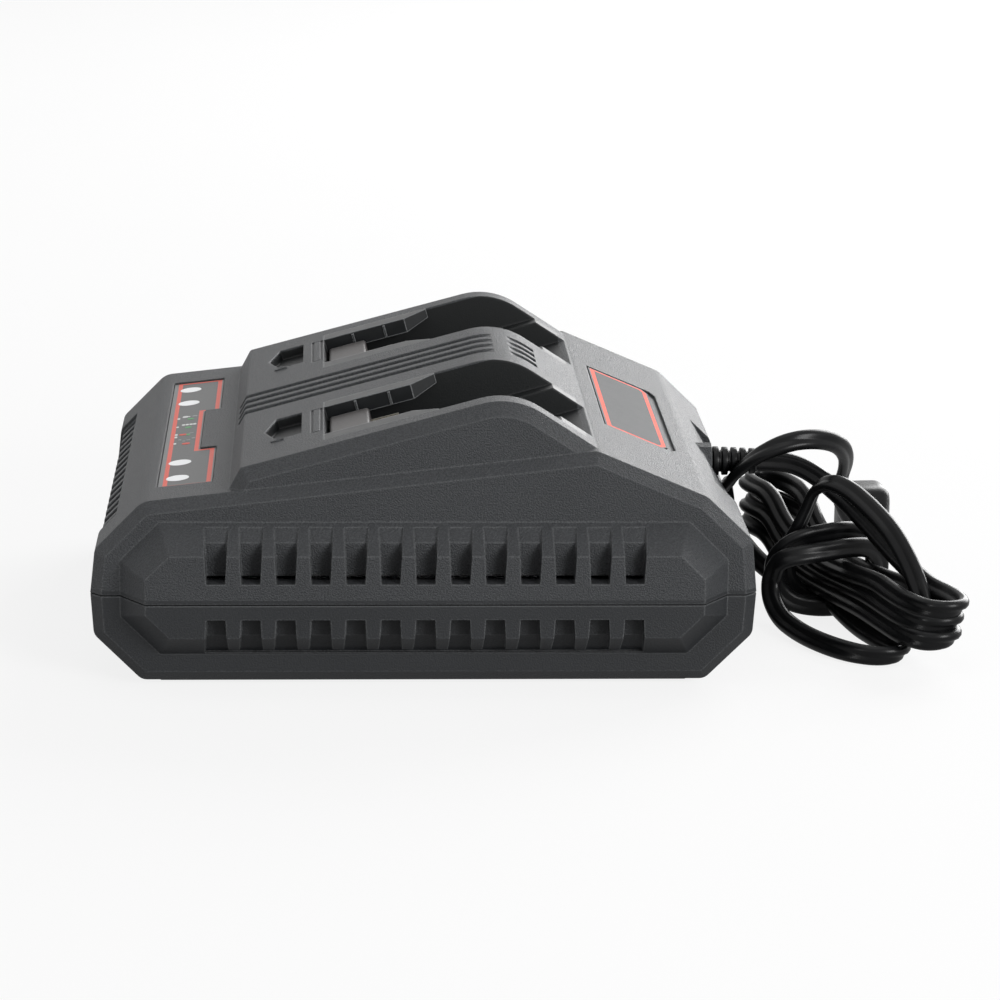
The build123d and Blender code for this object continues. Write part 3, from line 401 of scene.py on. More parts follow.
# ------------------------------------------------------------------ latch marks
# A small raised triangle beside each latch pocket shows where the pack's catch drops in. It is
# moulded in one with the deck.
mark_along = 0.0115
mark_offset = -0.0105            # from the middle of the bay
mark_radius = 0.0026
mark_height = 0.0010
mark_rim = 0.0008
mark_hollow = 0.0004
mark_edge = 0.00012
bpy.ops.mesh.primitive_cylinder_add(vertices=3, radius=mark_radius, depth=mark_height)
mark = bpy.context.object
pick_faces(mark, lambda middle, normal: normal.z > 0.9)
bpy.ops.mesh.inset(thickness=mark_rim, depth=-mark_hollow)
bpy.ops.object.mode_set(mode="OBJECT")
bevel_all(mark, mark_edge)
latch_marks = repeat(mark, "latch_marks", [
    deck_frame @ Matrix.Translation((mark_along, bay + mark_offset, 0))
    for bay in (-bay_y, bay_y)])
finish_piece(latch_marks, plastic.material)

# ------------------------------------------------------------------ status panel
# Grey polyester film in a recess of the front slope, printed with a coral line inside its edge. Its
# narrow margin outside the line is coloured lighter as a painted highlight. White, green and coral
# marks between the two pairs of lenses explain the lamps.
film_grey = (0.060, 0.061, 0.061, 1)
# Painted highlight: the lighter grey of the film's margin stands for the lit edge of its recess
film_margin_highlight = (0.15, 0.153, 0.153, 1)
coral = (0.74, 0.070, 0.032, 1)
print_white = (0.82, 0.83, 0.82, 1)
print_green = (0.085, 0.36, 0.12, 1)
print_grey = (0.30, 0.31, 0.31, 1)
status_edge = Vector((-0.0862, 0, 0.0586))       # front edge of the housing's top
status_tilt = math.atan2(0.0159, 0.1387)         # climb over run
film_front = 0.0040
film_rear = 0.0209
film_notch = 0.0157
film_notch_half = 0.027
film_half = 0.0735
line_inset = 0.0005
line_front_inset = 0.0009        # the line stands further in along the film's front edge
line_width = 0.0014

film = Finish("printed_film")
x, y, z = film.axes()
along = (x - status_edge.x) * math.cos(status_tilt) + (z - status_edge.z) * math.sin(status_tilt)
edge = (along - (film_front + line_front_inset)).least(film_rear - along).least(film_half - abs(y))
edge = edge.least((film_notch - along).most(abs(y) - film_notch_half))
line = (edge > line_inset) * (edge < line_inset + line_width)
margin = edge < line_inset
grain = film.noise(0.0004)
plain = film.blend(margin, film_grey, film_margin_highlight)
dress(film.surface(
    Base_Color=film.blend(line, plain, coral),
    Roughness=0.36 + 0.12 * grain,
    Normal=film.bump(grain, 0.00002),
), "status_overlay")

film_drop = 0.0005               # the film's face lies this far under the slope
ink_height = 0.00006
ink_corner = 0.42                # rounding, as a share of a bar's narrower side
status_frame = sloped_frame(status_edge, status_tilt)


def turn_outward():
    """Turn every face of the piece in edit mode outward, and leave edit mode."""
    bpy.ops.mesh.select_all(action="SELECT")
    bpy.ops.mesh.normals_make_consistent(inside=False)
    bpy.ops.object.mode_set(mode="OBJECT")


def ink_bar(along, y, length, width):
    """Printed bar with round corners; length runs up the slope, width across it."""
    bpy.ops.mesh.primitive_plane_add(size=1)
    bar = bpy.context.object
    bar.dimensions = (length, width, 0)
    bpy.ops.object.transform_apply(scale=True)
    bpy.ops.object.mode_set(mode="EDIT")
    bpy.ops.mesh.select_all(action="SELECT")
    bpy.ops.mesh.bevel(offset=ink_corner * min(length, width), segments=4, affect="VERTICES")
    bpy.ops.mesh.select_all(action="SELECT")
    bpy.ops.mesh.extrude_region_move(TRANSFORM_OT_translate={"value": (0, 0, ink_height)})
    turn_outward()
    shape_at(bar, status_frame @ Matrix.Translation((along, y, -film_drop)))
    return bar


def ink(name, colour):
    """Screen-printed ink: flat colour that varies a little in thickness."""
    paint = Finish(name)
    spread = paint.noise(0.0006)
    thin = tuple(0.86 * part for part in colour[:3]) + (1,)
    return paint.surface(
        Base_Color=paint.blend(spread, thin, colour),
        Roughness=0.45 + 0.1 * spread,
    )


# Each bar: place along the slope, place across it, length and width
white_bars = [
    # the lamps' column: small dots beside each row of signs
    (0.0072, 0.0195, 0.0009, 0.0020), (0.0072, 0.0075, 0.0009, 0.0016),
    (0.0072, -0.0035, 0.0009, 0.0022), (0.0072, -0.0070, 0.0009, 0.0022),
    (0.0072, -0.0160, 0.0009, 0.0020),
    # a full battery: case and terminal
    (0.0094, 0.0215, 0.0020, 0.0022), (0.0107, 0.0215, 0.0005, 0.0010),
    # a row of charge segments
    (0.0091, 0.0098, 0.0011, 0.0019), (0.0103, 0.0098, 0.0011, 0.0019),
    (0.0116, 0.0098, 0.0011, 0.0019), (0.0128, 0.0098, 0.0011, 0.0019),
]
grey_bars = [
    (0.0125, 0.0215, 0.0017, 0.0016), (0.0121, -0.0030, 0.0015, 0.0010),
    (0.0086, -0.0112, 0.0010, 0.0016), (0.0100, -0.0135, 0.0010, 0.0012),
    (0.0114, -0.0125, 0.0014, 0.0012), (0.0130, -0.0105, 0.0012, 0.0016),
]
green_bars = [(0.0112, 0.0180, 0.0022, 0.0018), (0.0108, 0.0058, 0.0022, 0.0018),
              (0.0111, -0.0046, 0.0013, 0.0020)]
coral_bars = [(0.0094, -0.0040, 0.0026, 0.0018), (0.0108, -0.0172, 0.0026, 0.0020)]
for name, bars, colour in (
        ("print_white", white_bars, print_white), ("print_grey", grey_bars, print_grey),
        ("print_green", green_bars, print_green), ("print_coral", coral_bars, coral)):
    marks = join_as(name, [ink_bar(*bar) for bar in bars])
    finish_piece(marks, ink(name + "_ink", colour))

# ------------------------------------------------------------------ indicator lenses
# Four round diffusing lenses of white acrylic, flush with the film, whose square stems stand over the
# small board under the slope. Their faint white glow is painted light of their own.
lens_white = (0.90, 0.91, 0.92, 1)
lens_shade = (0.78, 0.80, 0.82, 1)
lens = Finish("white_lens")
haze = lens.noise(0.003)
dress(lens.surface(
    Base_Color=lens.blend(haze, lens_white, lens_shade),
    Roughness=0.16 + 0.08 * haze,
    # Painted glow: a faint white light of the lenses' own
    Emission_Color=(1, 1, 1, 1),
    Emission_Strength=0.12,
), "light_pipes")

# ------------------------------------------------------------------ rear badge
# Plain satin plate in a recess of the rear slope, grey like the status film, with the same coral
# line printed inside its edge. Its two lower corners are cut.
badge_top = Vector((0.0525, 0, 0.0745))          # ridge of the housing
badge_tilt = -math.atan2(0.0145, 0.0342)         # fall over run
badge_near = 0.0065
badge_far = 0.0285
badge_half = 0.0428
badge_cut = 0.0040
badge_cut_slope = 2              # a corner's cut runs this much further across than down
badge_line_inset = 0.0007
badge_line_width = 0.0015
badge_grey = (0.030, 0.031, 0.033, 1)
badge_rim = (0.060, 0.061, 0.063, 1)
badge = Finish("badge_plate")
x, y, z = badge.axes()
along = (x - badge_top.x) * math.cos(badge_tilt) + (z - badge_top.z) * math.sin(badge_tilt)
edge = (along - badge_near).least(badge_far - along).least(badge_half - abs(y))
corner = (badge_far - along) * badge_cut_slope + (badge_half - abs(y)) - badge_cut
edge = edge.least(corner / math.hypot(badge_cut_slope, 1))
line = (edge > badge_line_inset) * (edge < badge_line_inset + badge_line_width)
grain = badge.noise(0.0005)
brushed = badge.noise(0.004)
plain = badge.blend(edge < badge_line_inset, badge_grey, badge_rim)
dress(badge.surface(
    Base_Color=badge.blend(line, plain, coral),
    Roughness=0.58 + 0.08 * grain + 0.05 * brushed,
    Normal=badge.bump(grain, 0.00003),
    Specular_IOR_Level=0.25,
), "rear_badge")

# ------------------------------------------------------------------ terminals
# Glass-filled nylon blocks at the front of the bays, dark and a little rough, with their rounded
# edges coloured light grey as a painted highlight, each holding four nickel-plated contact blades
# that the pack slides over.
nylon_dark = (0.030, 0.026, 0.025, 1)
nylon_light = (0.060, 0.054, 0.052, 1)
# Painted highlight: a light grey for the rounded edges of the blocks
nylon_edge_highlight = (0.42, 0.42, 0.41, 1)
nylon = Finish("terminal_nylon")
fibres = nylon.noise(0.0009, 4.0)
rounded = nylon.rounding(0.0006)
nylon_skin = nylon.blend(fibres, nylon_dark, nylon_light)
dress(nylon.surface(
    Base_Color=nylon.blend(nylon.edges(rounded), nylon_skin, nylon_edge_highlight),
    Roughness=0.34 + 0.16 * fibres,
    Normal=nylon.bump(fibres, 0.00006, rounded),
), "terminal_block_left", "terminal_block_right")

nickel = Finish("nickel_plate")
drawn = nickel.noise(1 / 900)
dress(nickel.surface(
    Base_Color=nickel.blend(drawn, (0.66, 0.62, 0.54, 1), (0.80, 0.77, 0.70, 1)),
    Metallic=1.0,
    Roughness=0.22 + 0.16 * drawn,
), "contact_blades_left", "contact_blades_right")

# ------------------------------------------------------------------ feet and housing screws
# Four soft rubber feet pressed into recesses of the bottom panel, and four pan head screws with
# cross recesses that come up through the columns and hold the shells together.
rubber = Finish("foot_rubber")
speckle = rubber.noise(0.0008, 3.0)
rubber.surface(
    Base_Color=rubber.blend(speckle, (0.012, 0.012, 0.012, 1), (0.026, 0.026, 0.026, 1)),
    Roughness=0.78 + 0.12 * speckle,
    Normal=rubber.bump(speckle, 0.00008),
)
foot_low, foot_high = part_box("rubber_feet")
foot_radius = 0.0075
foot_rim = 0.0016
foot_step = 0.0006
foot_dish = 0.0003
foot_edge = 0.00025
foot_height = foot_high[2] - foot_low[2]
bpy.ops.mesh.primitive_cylinder_add(vertices=40, radius=foot_radius, depth=foot_height)
foot = bpy.context.object
pick_faces(foot, lambda middle, normal: normal.z < -0.9)
bpy.ops.mesh.inset(thickness=foot_rim)
bpy.ops.mesh.inset(thickness=foot_step, depth=-foot_dish)
bpy.ops.object.mode_set(mode="OBJECT")
bevel_all(foot, foot_edge)
soft_feet = repeat(foot, "soft_feet", [
    Matrix.Translation((foot_x, foot_y, foot_height / 2))
    for foot_x in (foot_low[0] + foot_radius, foot_high[0] - foot_radius)
    for foot_y in (foot_low[1] + foot_radius, foot_high[1] - foot_radius)])
finish_piece(soft_feet, rubber.material)
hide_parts("rubber_feet")

zinc = Finish("zinc_plate")
dull = zinc.noise(0.0012, 3.0)
zinc.surface(
    Base_Color=zinc.blend(dull, (0.36, 0.36, 0.37, 1), (0.52, 0.52, 0.53, 1)),
    Metallic=1.0,
    Roughness=0.30 + 0.20 * dull,
)
screw_low, screw_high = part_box("housing_screws")
head_radius = 0.0031
head_height = 0.0022
head_edge = 0.0004
shank_radius = 0.0015
shank_point = 0.3                # width left at the tip
cross_reach = 0.0036
cross_width = 0.0008
cross_depth = 0.0022
bpy.ops.mesh.primitive_cylinder_add(vertices=32, radius=head_radius, depth=head_height)
head = bpy.context.object
for bar_size in ((cross_reach, cross_width, cross_depth),
                 (cross_width, cross_reach, cross_depth)):
    bpy.ops.mesh.primitive_cube_add(size=1, location=(0, 0, -head_height / 2))
    bar = bpy.context.object
    bar.dimensions = bar_size
    bpy.ops.object.transform_apply(location=True, scale=True)
    pick(head)
    recess = head.modifiers.new("recess", "BOOLEAN")
    recess.object = bar
    bpy.ops.object.modifier_apply(modifier="recess")
    bpy.data.objects.remove(bar)
bevel_all(head, head_edge)
shape_at(head, Matrix.Translation((0, 0, head_height / 2)))
shank_length = screw_high[2] - screw_low[2] - head_height
bpy.ops.mesh.primitive_cylinder_add(vertices=20, radius=shank_radius, depth=shank_length)
shank = bpy.context.object
pick_faces(shank, lambda middle, normal: normal.z > 0.9)
bpy.ops.transform.resize(value=(shank_point, shank_point, 1))
bpy.ops.object.mode_set(mode="OBJECT")
shape_at(shank, Matrix.Translation((0, 0, head_height + shank_length / 2)))
pan_head_screws = repeat(join_as("screw", [head, shank]), "pan_head_screws", [
    Matrix.Translation((screw_x, screw_y, screw_low[2]))
    for screw_x in (screw_low[0] + head_radius, screw_high[0] - head_radius)
    for screw_y in (screw_low[1] + head_radius, screw_high[1] - head_radius)])
finish_piece(pan_head_screws, zinc.material)
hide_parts("housing_screws")
dress(zinc.material, "board_screws")

# ------------------------------------------------------------------ circuit boards
# Glass-epoxy boards with green solder mask over copper tracks, and pale diffusing lamps on the
# small board under the status panel.
mask_dark = (0.010, 0.075, 0.036, 1)
mask_light = (0.024, 0.150, 0.066, 1)
laminate = (0.30, 0.27, 0.13, 1)
board = Finish("solder_mask")
tracks = board.node("TexBrick", {"offset": 0.37, "squash": 1.7}, {
    "Vector": board.place(), "Scale": 60.0, "Mortar Size": 0.035,
    "Brick Width": 0.6, "Row Height": 0.17}, "Fac")
weave = board.noise(0.0012)
normal = board.node("NewGeometry", {}, {}, "Normal")
face = abs(board.node("SeparateXYZ", {}, {0: normal}, "Z")) > 0.5
coat = board.blend(tracks * 0.6 + weave * 0.4, mask_light, mask_dark)
dress(board.surface(
    Base_Color=board.blend(face, laminate, coat),
    Roughness=0.30 + 0.12 * weave,
    Normal=board.bump(tracks, 0.00005),
), "main_board", "status_board")

lamp = Finish("lamp_body")
cloud = lamp.noise(0.0015)
dress(lamp.surface(
    Base_Color=lamp.blend(cloud, (0.86, 0.84, 0.74, 1), (0.93, 0.92, 0.86, 1)),
    Roughness=0.30 + 0.10 * cloud,
), "status_leds")

# ------------------------------------------------------------------ transformer and choke
# Sintered ferrite cores, grey-black and granular, and a bobbin wound over with yellow polyester
# tape whose turns overlap.
ferrite = Finish("sintered_ferrite")
grit = ferrite.noise(0.0006, 4.0)
dress(ferrite.surface(
    Base_Color=ferrite.blend(grit, (0.035, 0.035, 0.038, 1), (0.085, 0.085, 0.090, 1)),
    Roughness=0.55 + 0.20 * grit,
    Normal=ferrite.bump(grit, 0.00008),
), "transformer_core", "emi_choke")

tape_lap = 0.0026
tape = Finish("winding_tape")
x, y, z = tape.axes()
lap = z.remainder(tape_lap) / tape_lap
crease = tape.noise(0.004)
dress(tape.surface(
    Base_Color=tape.blend(lap * 0.6 + crease * 0.4,
                          (0.55, 0.34, 0.02, 1), (0.86, 0.58, 0.06, 1)),
    Roughness=0.26 + 0.16 * crease,
    Normal=tape.bump(lap, 0.00008),
), "transformer_winding")

# ------------------------------------------------------------------ capacitors
# Aluminium cans in navy shrink sleeves, bare and scored at the top, and a film capacitor potted
# in a yellow box.
can_rim = 0.0003
for node in ("bulk_capacitors", "output_capacitors"):
    sleeve = Finish(node + "_sleeve")
    x, y, z = sleeve.axes()
    can_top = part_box(node)[1][2]
    bare = z > can_top - can_rim
    streak = sleeve.noise(0.005, 3.0)
    shrink = sleeve.blend(streak, (0.012, 0.017, 0.045, 1), (0.030, 0.042, 0.095, 1))
    dress(sleeve.surface(
        Base_Color=sleeve.blend(bare, shrink, (0.62, 0.63, 0.65, 1)),
        Metallic=bare,
        Roughness=0.24 + 0.14 * streak,
    ), node)

boxed = Finish("boxed_film")
mottle = boxed.noise(0.002, 3.0)
dress(boxed.surface(
    Base_Color=boxed.blend(mottle, (0.66, 0.46, 0.05, 1), (0.82, 0.62, 0.12, 1)),
    Roughness=0.32 + 0.14 * mottle,
    Normal=boxed.bump(mottle, 0.00003),
), "line_filter_capacitor")

# ------------------------------------------------------------------ heatsinks and transistors
# Two fins of extruded aluminium with the lines of the die along them, and the black epoxy
# packages of the transistors that are clamped to them.
lines_along = 20                 # noise is this fine to a metre along the fins
lines_across = 900               # and this fine across them
drawn_metal = Finish("extruded_aluminium")
x, y, z = drawn_metal.axes()
lengthwise = drawn_metal.node("CombineXYZ", {}, {
    "X": x * lines_along, "Y": y * lines_across, "Z": z * lines_across})
lines = drawn_metal.node("TexNoise", {}, {"Vector": lengthwise, "Scale": 1.0, "Detail": 3.0})
dress(drawn_metal.surface(
    Base_Color=drawn_metal.blend(lines, (0.52, 0.53, 0.55, 1), (0.72, 0.73, 0.75, 1)),
    Metallic=1.0,
    Roughness=0.30 + 0.22 * lines,
), "primary_heatsink", "output_heatsink")

epoxy = Finish("moulded_epoxy")
pits = epoxy.noise(0.0007, 3.0)
dress(epoxy.surface(
    Base_Color=epoxy.blend(pits, (0.014, 0.014, 0.014, 1), (0.034, 0.034, 0.034, 1)),
    Roughness=0.48 + 0.18 * pits,
    Normal=epoxy.bump(pits, 0.00005),
), "power_transistors")

# ------------------------------------------------------------------ fuse and inlet connector
# A ceramic tube fuse with plated caps at its ends, and the white nylon header that the mains
# wires plug on to.
fuse_finish = Finish("fuse_tube")
x, y, z = fuse_finish.axes()
fuse_low, fuse_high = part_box("fuse")
cap_length = 0.0045
capped = (y < fuse_low[1] + cap_length).most(y > fuse_high[1] - cap_length)
glaze = fuse_finish.noise(0.003)
ceramic = fuse_finish.blend(glaze, (0.66, 0.67, 0.65, 1), (0.80, 0.81, 0.79, 1))
dress(fuse_finish.surface(
    Base_Color=fuse_finish.blend(capped, ceramic, (0.70, 0.68, 0.62, 1)),
    Metallic=capped,
    Roughness=0.22 + 0.12 * glaze,
), "fuse")

header = Finish("nylon_header")
bloom = header.noise(0.002)
dress(header.surface(
    Base_Color=header.blend(bloom, (0.74, 0.72, 0.64, 1), (0.86, 0.85, 0.79, 1)),
    Roughness=0.40 + 0.12 * bloom,
), "inlet_connector")

# ------------------------------------------------------------------ cooling fan
# Axial fan that draws air through the front vents. Frame and impeller are moulded in black
# glass-filled nylon, and the hub is plain.
fan_nylon = Finish("fan_nylon")
swirl = fan_nylon.noise(0.002, 4.0)
dress(fan_nylon.surface(
    Base_Color=fan_nylon.blend(swirl, (0.016, 0.016, 0.017, 1), (0.040, 0.040, 0.042, 1)),
    Roughness=0.42 + 0.16 * swirl,
    Normal=fan_nylon.bump(swirl, 0.00006),
), "fan_frame", "fan_impeller")

# ------------------------------------------------------------------ strain relief
# Tapered grommet of soft black vinyl moulded on the cord and held by a flange behind the wall.
# Grooves between its rings let it bend.
gland_start = Vector((0.0840, 0, 0.0495))
gland_length = 0.0275
gland_profile = [       # distance along, radius
    (0.0000, 0.0066), (0.0006, 0.0073), (0.0024, 0.0073), (0.0030, 0.0058), (0.0048, 0.0052),
    (0.0060, 0.0052),
]
ring_count = 7
ring_pitch = 0.0030
ring_fall = 0.00005              # each ring narrows this much towards the cord
gland_root = 0.0052
gland_tip = 0.0042
gland_end = 0.0036
groove_depth = 0.0011
groove_width = 0.0010
groove_flank = 0.0002
gland_edge = 0.00012
groove_start = gland_profile[-1][0]
for index in range(ring_count):
    start = groove_start + index * ring_pitch
    radius = gland_root + (gland_tip - gland_root) * (index + 0.5) / ring_count
    gland_profile += [
        (start + groove_flank, radius - groove_depth), (start + groove_width, radius - groove_depth),
        (start + groove_width + groove_flank, radius), (start + ring_pitch, radius - ring_fall),
    ]
gland_profile += [(gland_length, gland_end)]

vinyl = Finish("glossy_vinyl")
skin = vinyl.noise(0.006, 3.0)
fine = vinyl.noise(0.0007)
vinyl_skin = vinyl.surface(
    Base_Color=vinyl.blend(skin, (0.0030, 0.0031, 0.0034, 1), (0.0066, 0.0068, 0.0074, 1)),
    Roughness=0.25 + 0.12 * skin,
    Normal=vinyl.bump(fine, 0.00002),
    Specular_IOR_Level=0.17,
)


def draw_out(sections):
    """Draw the active flat piece out along z. A section is a distance and a radius, or a distance,
    half the width and half the thickness."""
    bpy.ops.object.mode_set(mode="EDIT")
    bpy.ops.mesh.select_all(action="SELECT")
    for before, after in zip(sections, sections[1:]):
        step = after[0] - before[0]
        bpy.ops.mesh.extrude_region_move(TRANSFORM_OT_translate={"value": (0, 0, step)})
        bpy.ops.transform.resize(value=(after[-1] / before[-1], after[1] / before[1], 1),
                                 center_override=(0, 0, after[0]))
    turn_outward()


bpy.ops.mesh.primitive_circle_add(vertices=40, radius=gland_profile[0][1], fill_type="NGON")
relief = bpy.context.object
draw_out(gland_profile)
bevel_all(relief, gland_edge)
bpy.ops.object.shade_smooth_by_angle(angle=math.radians(40))
shape_at(relief, Matrix.Translation(gland_start) @ Matrix.Rotation(math.radians(90), 4, "Y"))
relief.name = "ribbed_relief"
finish_piece(relief, vinyl_skin)
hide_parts("strain_relief")

# ------------------------------------------------------------------ plug
# Two-blade mains plug moulded in one with the cord, in the same vinyl. A narrow ribbed neck
# widens to the body, which lies on its edge, and the blades are plated brass.
plug_start = Vector((0.159, 0.048, 0.0125))
plug_across = Vector((0.995, 0.1, 0)).normalized()      # through its thickness
plug_ahead = Vector((-0.1, 0.995, 0)).normalized()
plug_corner = 0.30               # 1 gives an oval section, and less a boxier one
plug_sections = [       # distance, half the width, half the thickness
    (0.0000, 0.0042, 0.0040),
    # two rings of the neck, with a groove after each
    (0.0010, 0.0054, 0.0050), (0.0022, 0.0054, 0.0050), (0.0024, 0.0047, 0.0043),
    (0.0032, 0.0047, 0.0043), (0.0034, 0.0056, 0.0052), (0.0048, 0.0058, 0.0054),
    (0.0050, 0.0049, 0.0045), (0.0058, 0.0049, 0.0045), (0.0060, 0.0060, 0.0056),
    # shoulders, body and rounded front
    (0.0085, 0.0082, 0.0068), (0.0108, 0.0110, 0.0078), (0.0130, 0.0122, 0.0084),
    (0.0185, 0.0123, 0.0085), (0.0245, 0.0123, 0.0085), (0.0262, 0.0118, 0.0080),
    (0.0270, 0.0106, 0.0068),
]
bpy.ops.mesh.primitive_circle_add(vertices=48, radius=1, fill_type="NGON")
plug = bpy.context.object
for vertex in plug.data.vertices:
    # rounded rectangle instead of a circle
    angle = math.atan2(vertex.co.y, vertex.co.x)
    across, upwards = math.cos(angle), math.sin(angle)
    vertex.co.x = math.copysign(abs(across) ** plug_corner, across) * plug_sections[0][2]
    vertex.co.y = math.copysign(abs(upwards) ** plug_corner, upwards) * plug_sections[0][1]
draw_out(plug_sections)
bpy.ops.object.shade_smooth_by_angle(angle=math.radians(35))
plug_turn = Matrix((plug_across, plug_ahead.cross(plug_across), plug_ahead)).transposed()
shape_at(plug, Matrix.Translation(plug_start) @ plug_turn.to_4x4())
plug.name = "moulded_plug"
finish_piece(plug, vinyl_skin)
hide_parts("plug_body")

brass = Finish("plated_brass")
rub = brass.noise(0.002, 3.0)
dress(brass.surface(
    Base_Color=brass.blend(rub, (0.62, 0.50, 0.26, 1), (0.80, 0.68, 0.42, 1)),
    Metallic=1.0,
    Roughness=0.24 + 0.18 * rub,
), "plug_blades")

# ------------------------------------------------------------------ power cord
# Flat two-core mains lead in glossy black vinyl, 6.6 mm wide, with a groove between its cores.
# It leaves the rear of the housing, lies in a hank of long turns that fan out at their ends, and
# two turns of its own round the middle bind them.
cord_width = 0.0066
cord_thickness = 0.0036
exit_strand = [
    (0.1115, 0, 0.0495), (0.118, 0.0004, 0.0495), (0.1255, -0.0006, 0.0483), (0.133, -0.0044, 0.0444),
    (0.1405, -0.0115, 0.0386), (0.1475, -0.0215, 0.0324), (0.153, -0.034, 0.0272),
    (0.158, -0.047, 0.0238),
]
hank_turns = [
    (0.1621, -0.0535, 0.0213), (0.1675, -0.0652, 0.0212), (0.1693, -0.0752, 0.021),
    (0.1649, -0.0795, 0.0208), (0.1586, -0.0787, 0.0206), (0.1531, -0.0699, 0.0204),
    (0.1494, -0.0576, 0.0203), (0.1464, -0.0442, 0.0204), (0.1404, -0.0288, 0.0188),
    (0.1345, -0.0134, 0.018), (0.1293, 0.001, 0.0192), (0.1235, 0.0159, 0.0236),
    (0.1198, 0.0273, 0.0318), (0.1149, 0.0394, 0.0316), (0.1136, 0.0495, 0.0313),
    (0.1179, 0.0541, 0.031), (0.1242, 0.053, 0.0307), (0.1291, 0.0441, 0.0304),
    (0.1323, 0.0314, 0.0302), (0.1349, 0.0197, 0.0224), (0.139, 0.0042, 0.0178),
    (0.1438, -0.0103, 0.0162), (0.1503, -0.0255, 0.0168), (0.1577, -0.0404, 0.0176),
    (0.1611, -0.0527, 0.0162), (0.1664, -0.0643, 0.0161), (0.168, -0.0744, 0.016),
    (0.1634, -0.0787, 0.0158), (0.157, -0.078, 0.0156), (0.1516, -0.0692, 0.0155),
    (0.148, -0.0569, 0.0154), (0.1443, -0.0428, 0.0154), (0.14, -0.0289, 0.0146),
    (0.1345, -0.0134, 0.0139), (0.1289, 0.0009, 0.0146), (0.1233, 0.0148, 0.0178),
    (0.1198, 0.0242, 0.0248), (0.1149, 0.0362, 0.0246), (0.1136, 0.0463, 0.0243),
    (0.1183, 0.051, 0.024), (0.1249, 0.0501, 0.0237), (0.1299, 0.0412, 0.0234),
    (0.1331, 0.0285, 0.0232), (0.1361, 0.018, 0.017), (0.14, 0.0024, 0.0132), (0.1447, -0.0119, 0.012),
    (0.1511, -0.0271, 0.012), (0.1572, -0.0404, 0.0122), (0.1607, -0.0535, 0.0113),
    (0.1659, -0.0652, 0.0112), (0.1673, -0.0752, 0.0111), (0.1626, -0.0796, 0.0109),
    (0.156, -0.0789, 0.0107), (0.1507, -0.0701, 0.0106), (0.1473, -0.0579, 0.0105),
    (0.1429, -0.0431, 0.0108), (0.1387, -0.0292, 0.0102), (0.1338, -0.0136, 0.0098),
    (0.1285, 0.0007, 0.01), (0.123, 0.0157, 0.012), (0.1198, 0.0273, 0.0178), (0.1149, 0.0394, 0.0176),
    (0.1135, 0.0495, 0.0173), (0.1178, 0.054, 0.017), (0.1239, 0.0529, 0.0167), (0.1287, 0.044, 0.0164),
    (0.1319, 0.0313, 0.0162), (0.1337, 0.0182, 0.012), (0.1365, 0.0033, 0.0106),
    (0.1382, -0.0103, 0.0092),
]
lower_loop = [
    (0.1355, -0.0196, 0.0074), (0.139, -0.0295, 0.005), (0.1424, -0.0398, 0.0036),
    (0.1454, -0.0497, 0.0036), (0.1485, -0.0574, 0.0036), (0.152, -0.0622, 0.0036),
    (0.1522, -0.0674, 0.0036), (0.1475, -0.0714, 0.0036), (0.1402, -0.0709, 0.0036),
    (0.1327, -0.0646, 0.0036), (0.1259, -0.0539, 0.0036), (0.1213, -0.0427, 0.0036),
    (0.1175, -0.0319, 0.0046), (0.1152, -0.0243, 0.0084), (0.1149, -0.0211, 0.0136),
]
binding_turns = [
    (0.1161, -0.0223, 0.0186), (0.1178, -0.0248, 0.0226), (0.1241, -0.0257, 0.0242),
    (0.1324, -0.0237, 0.0249), (0.141, -0.0194, 0.0252), (0.149, -0.0141, 0.0238),
    (0.153, -0.0105, 0.0178), (0.1519, -0.0098, 0.0096), (0.1461, -0.0114, 0.0042),
    (0.1377, -0.0139, 0.0034), (0.1292, -0.0147, 0.0036), (0.1216, -0.0147, 0.0056),
    (0.1171, -0.0147, 0.0116), (0.1163, -0.0162, 0.0192), (0.1186, -0.0185, 0.0252),
    (0.1247, -0.0192, 0.0284), (0.1328, -0.0171, 0.0294), (0.1409, -0.0125, 0.0292),
    (0.148, -0.0074, 0.0262), (0.1517, -0.004, 0.0194), (0.1505, -0.0028, 0.0112),
    (0.145, -0.0035, 0.0048), (0.1374, -0.0053, 0.0034), (0.1294, -0.0064, 0.0042),
    (0.123, -0.0074, 0.009), (0.1206, -0.0096, 0.0166), (0.1215, -0.0122, 0.024),
]
cross_strand = [
    (0.1246, -0.0139, 0.0306), (0.1274, -0.014, 0.0374), (0.1291, -0.0152, 0.0434),
    (0.133, -0.0197, 0.0474), (0.1383, -0.0264, 0.047), (0.1439, -0.0346, 0.0434),
    (0.1496, -0.0439, 0.0384), (0.1537, -0.0496, 0.032), (0.1567, -0.0548, 0.0256),
    (0.1589, -0.0583, 0.019), (0.1597, -0.0615, 0.013),
]
return_strand = [
    (0.1595, -0.0648, 0.009), (0.155, -0.0659, 0.0074), (0.1517, -0.0616, 0.0078),
    (0.1509, -0.0534, 0.0068), (0.1495, -0.0425, 0.0058), (0.1463, -0.0322, 0.0056),
    (0.1418, -0.0185, 0.0056), (0.1358, -0.0072, 0.0052), (0.1275, 0.0025, 0.0054),
    (0.1201, 0.0116, 0.0076), (0.1147, 0.0204, 0.0106), (0.1109, 0.0286, 0.0142),
]
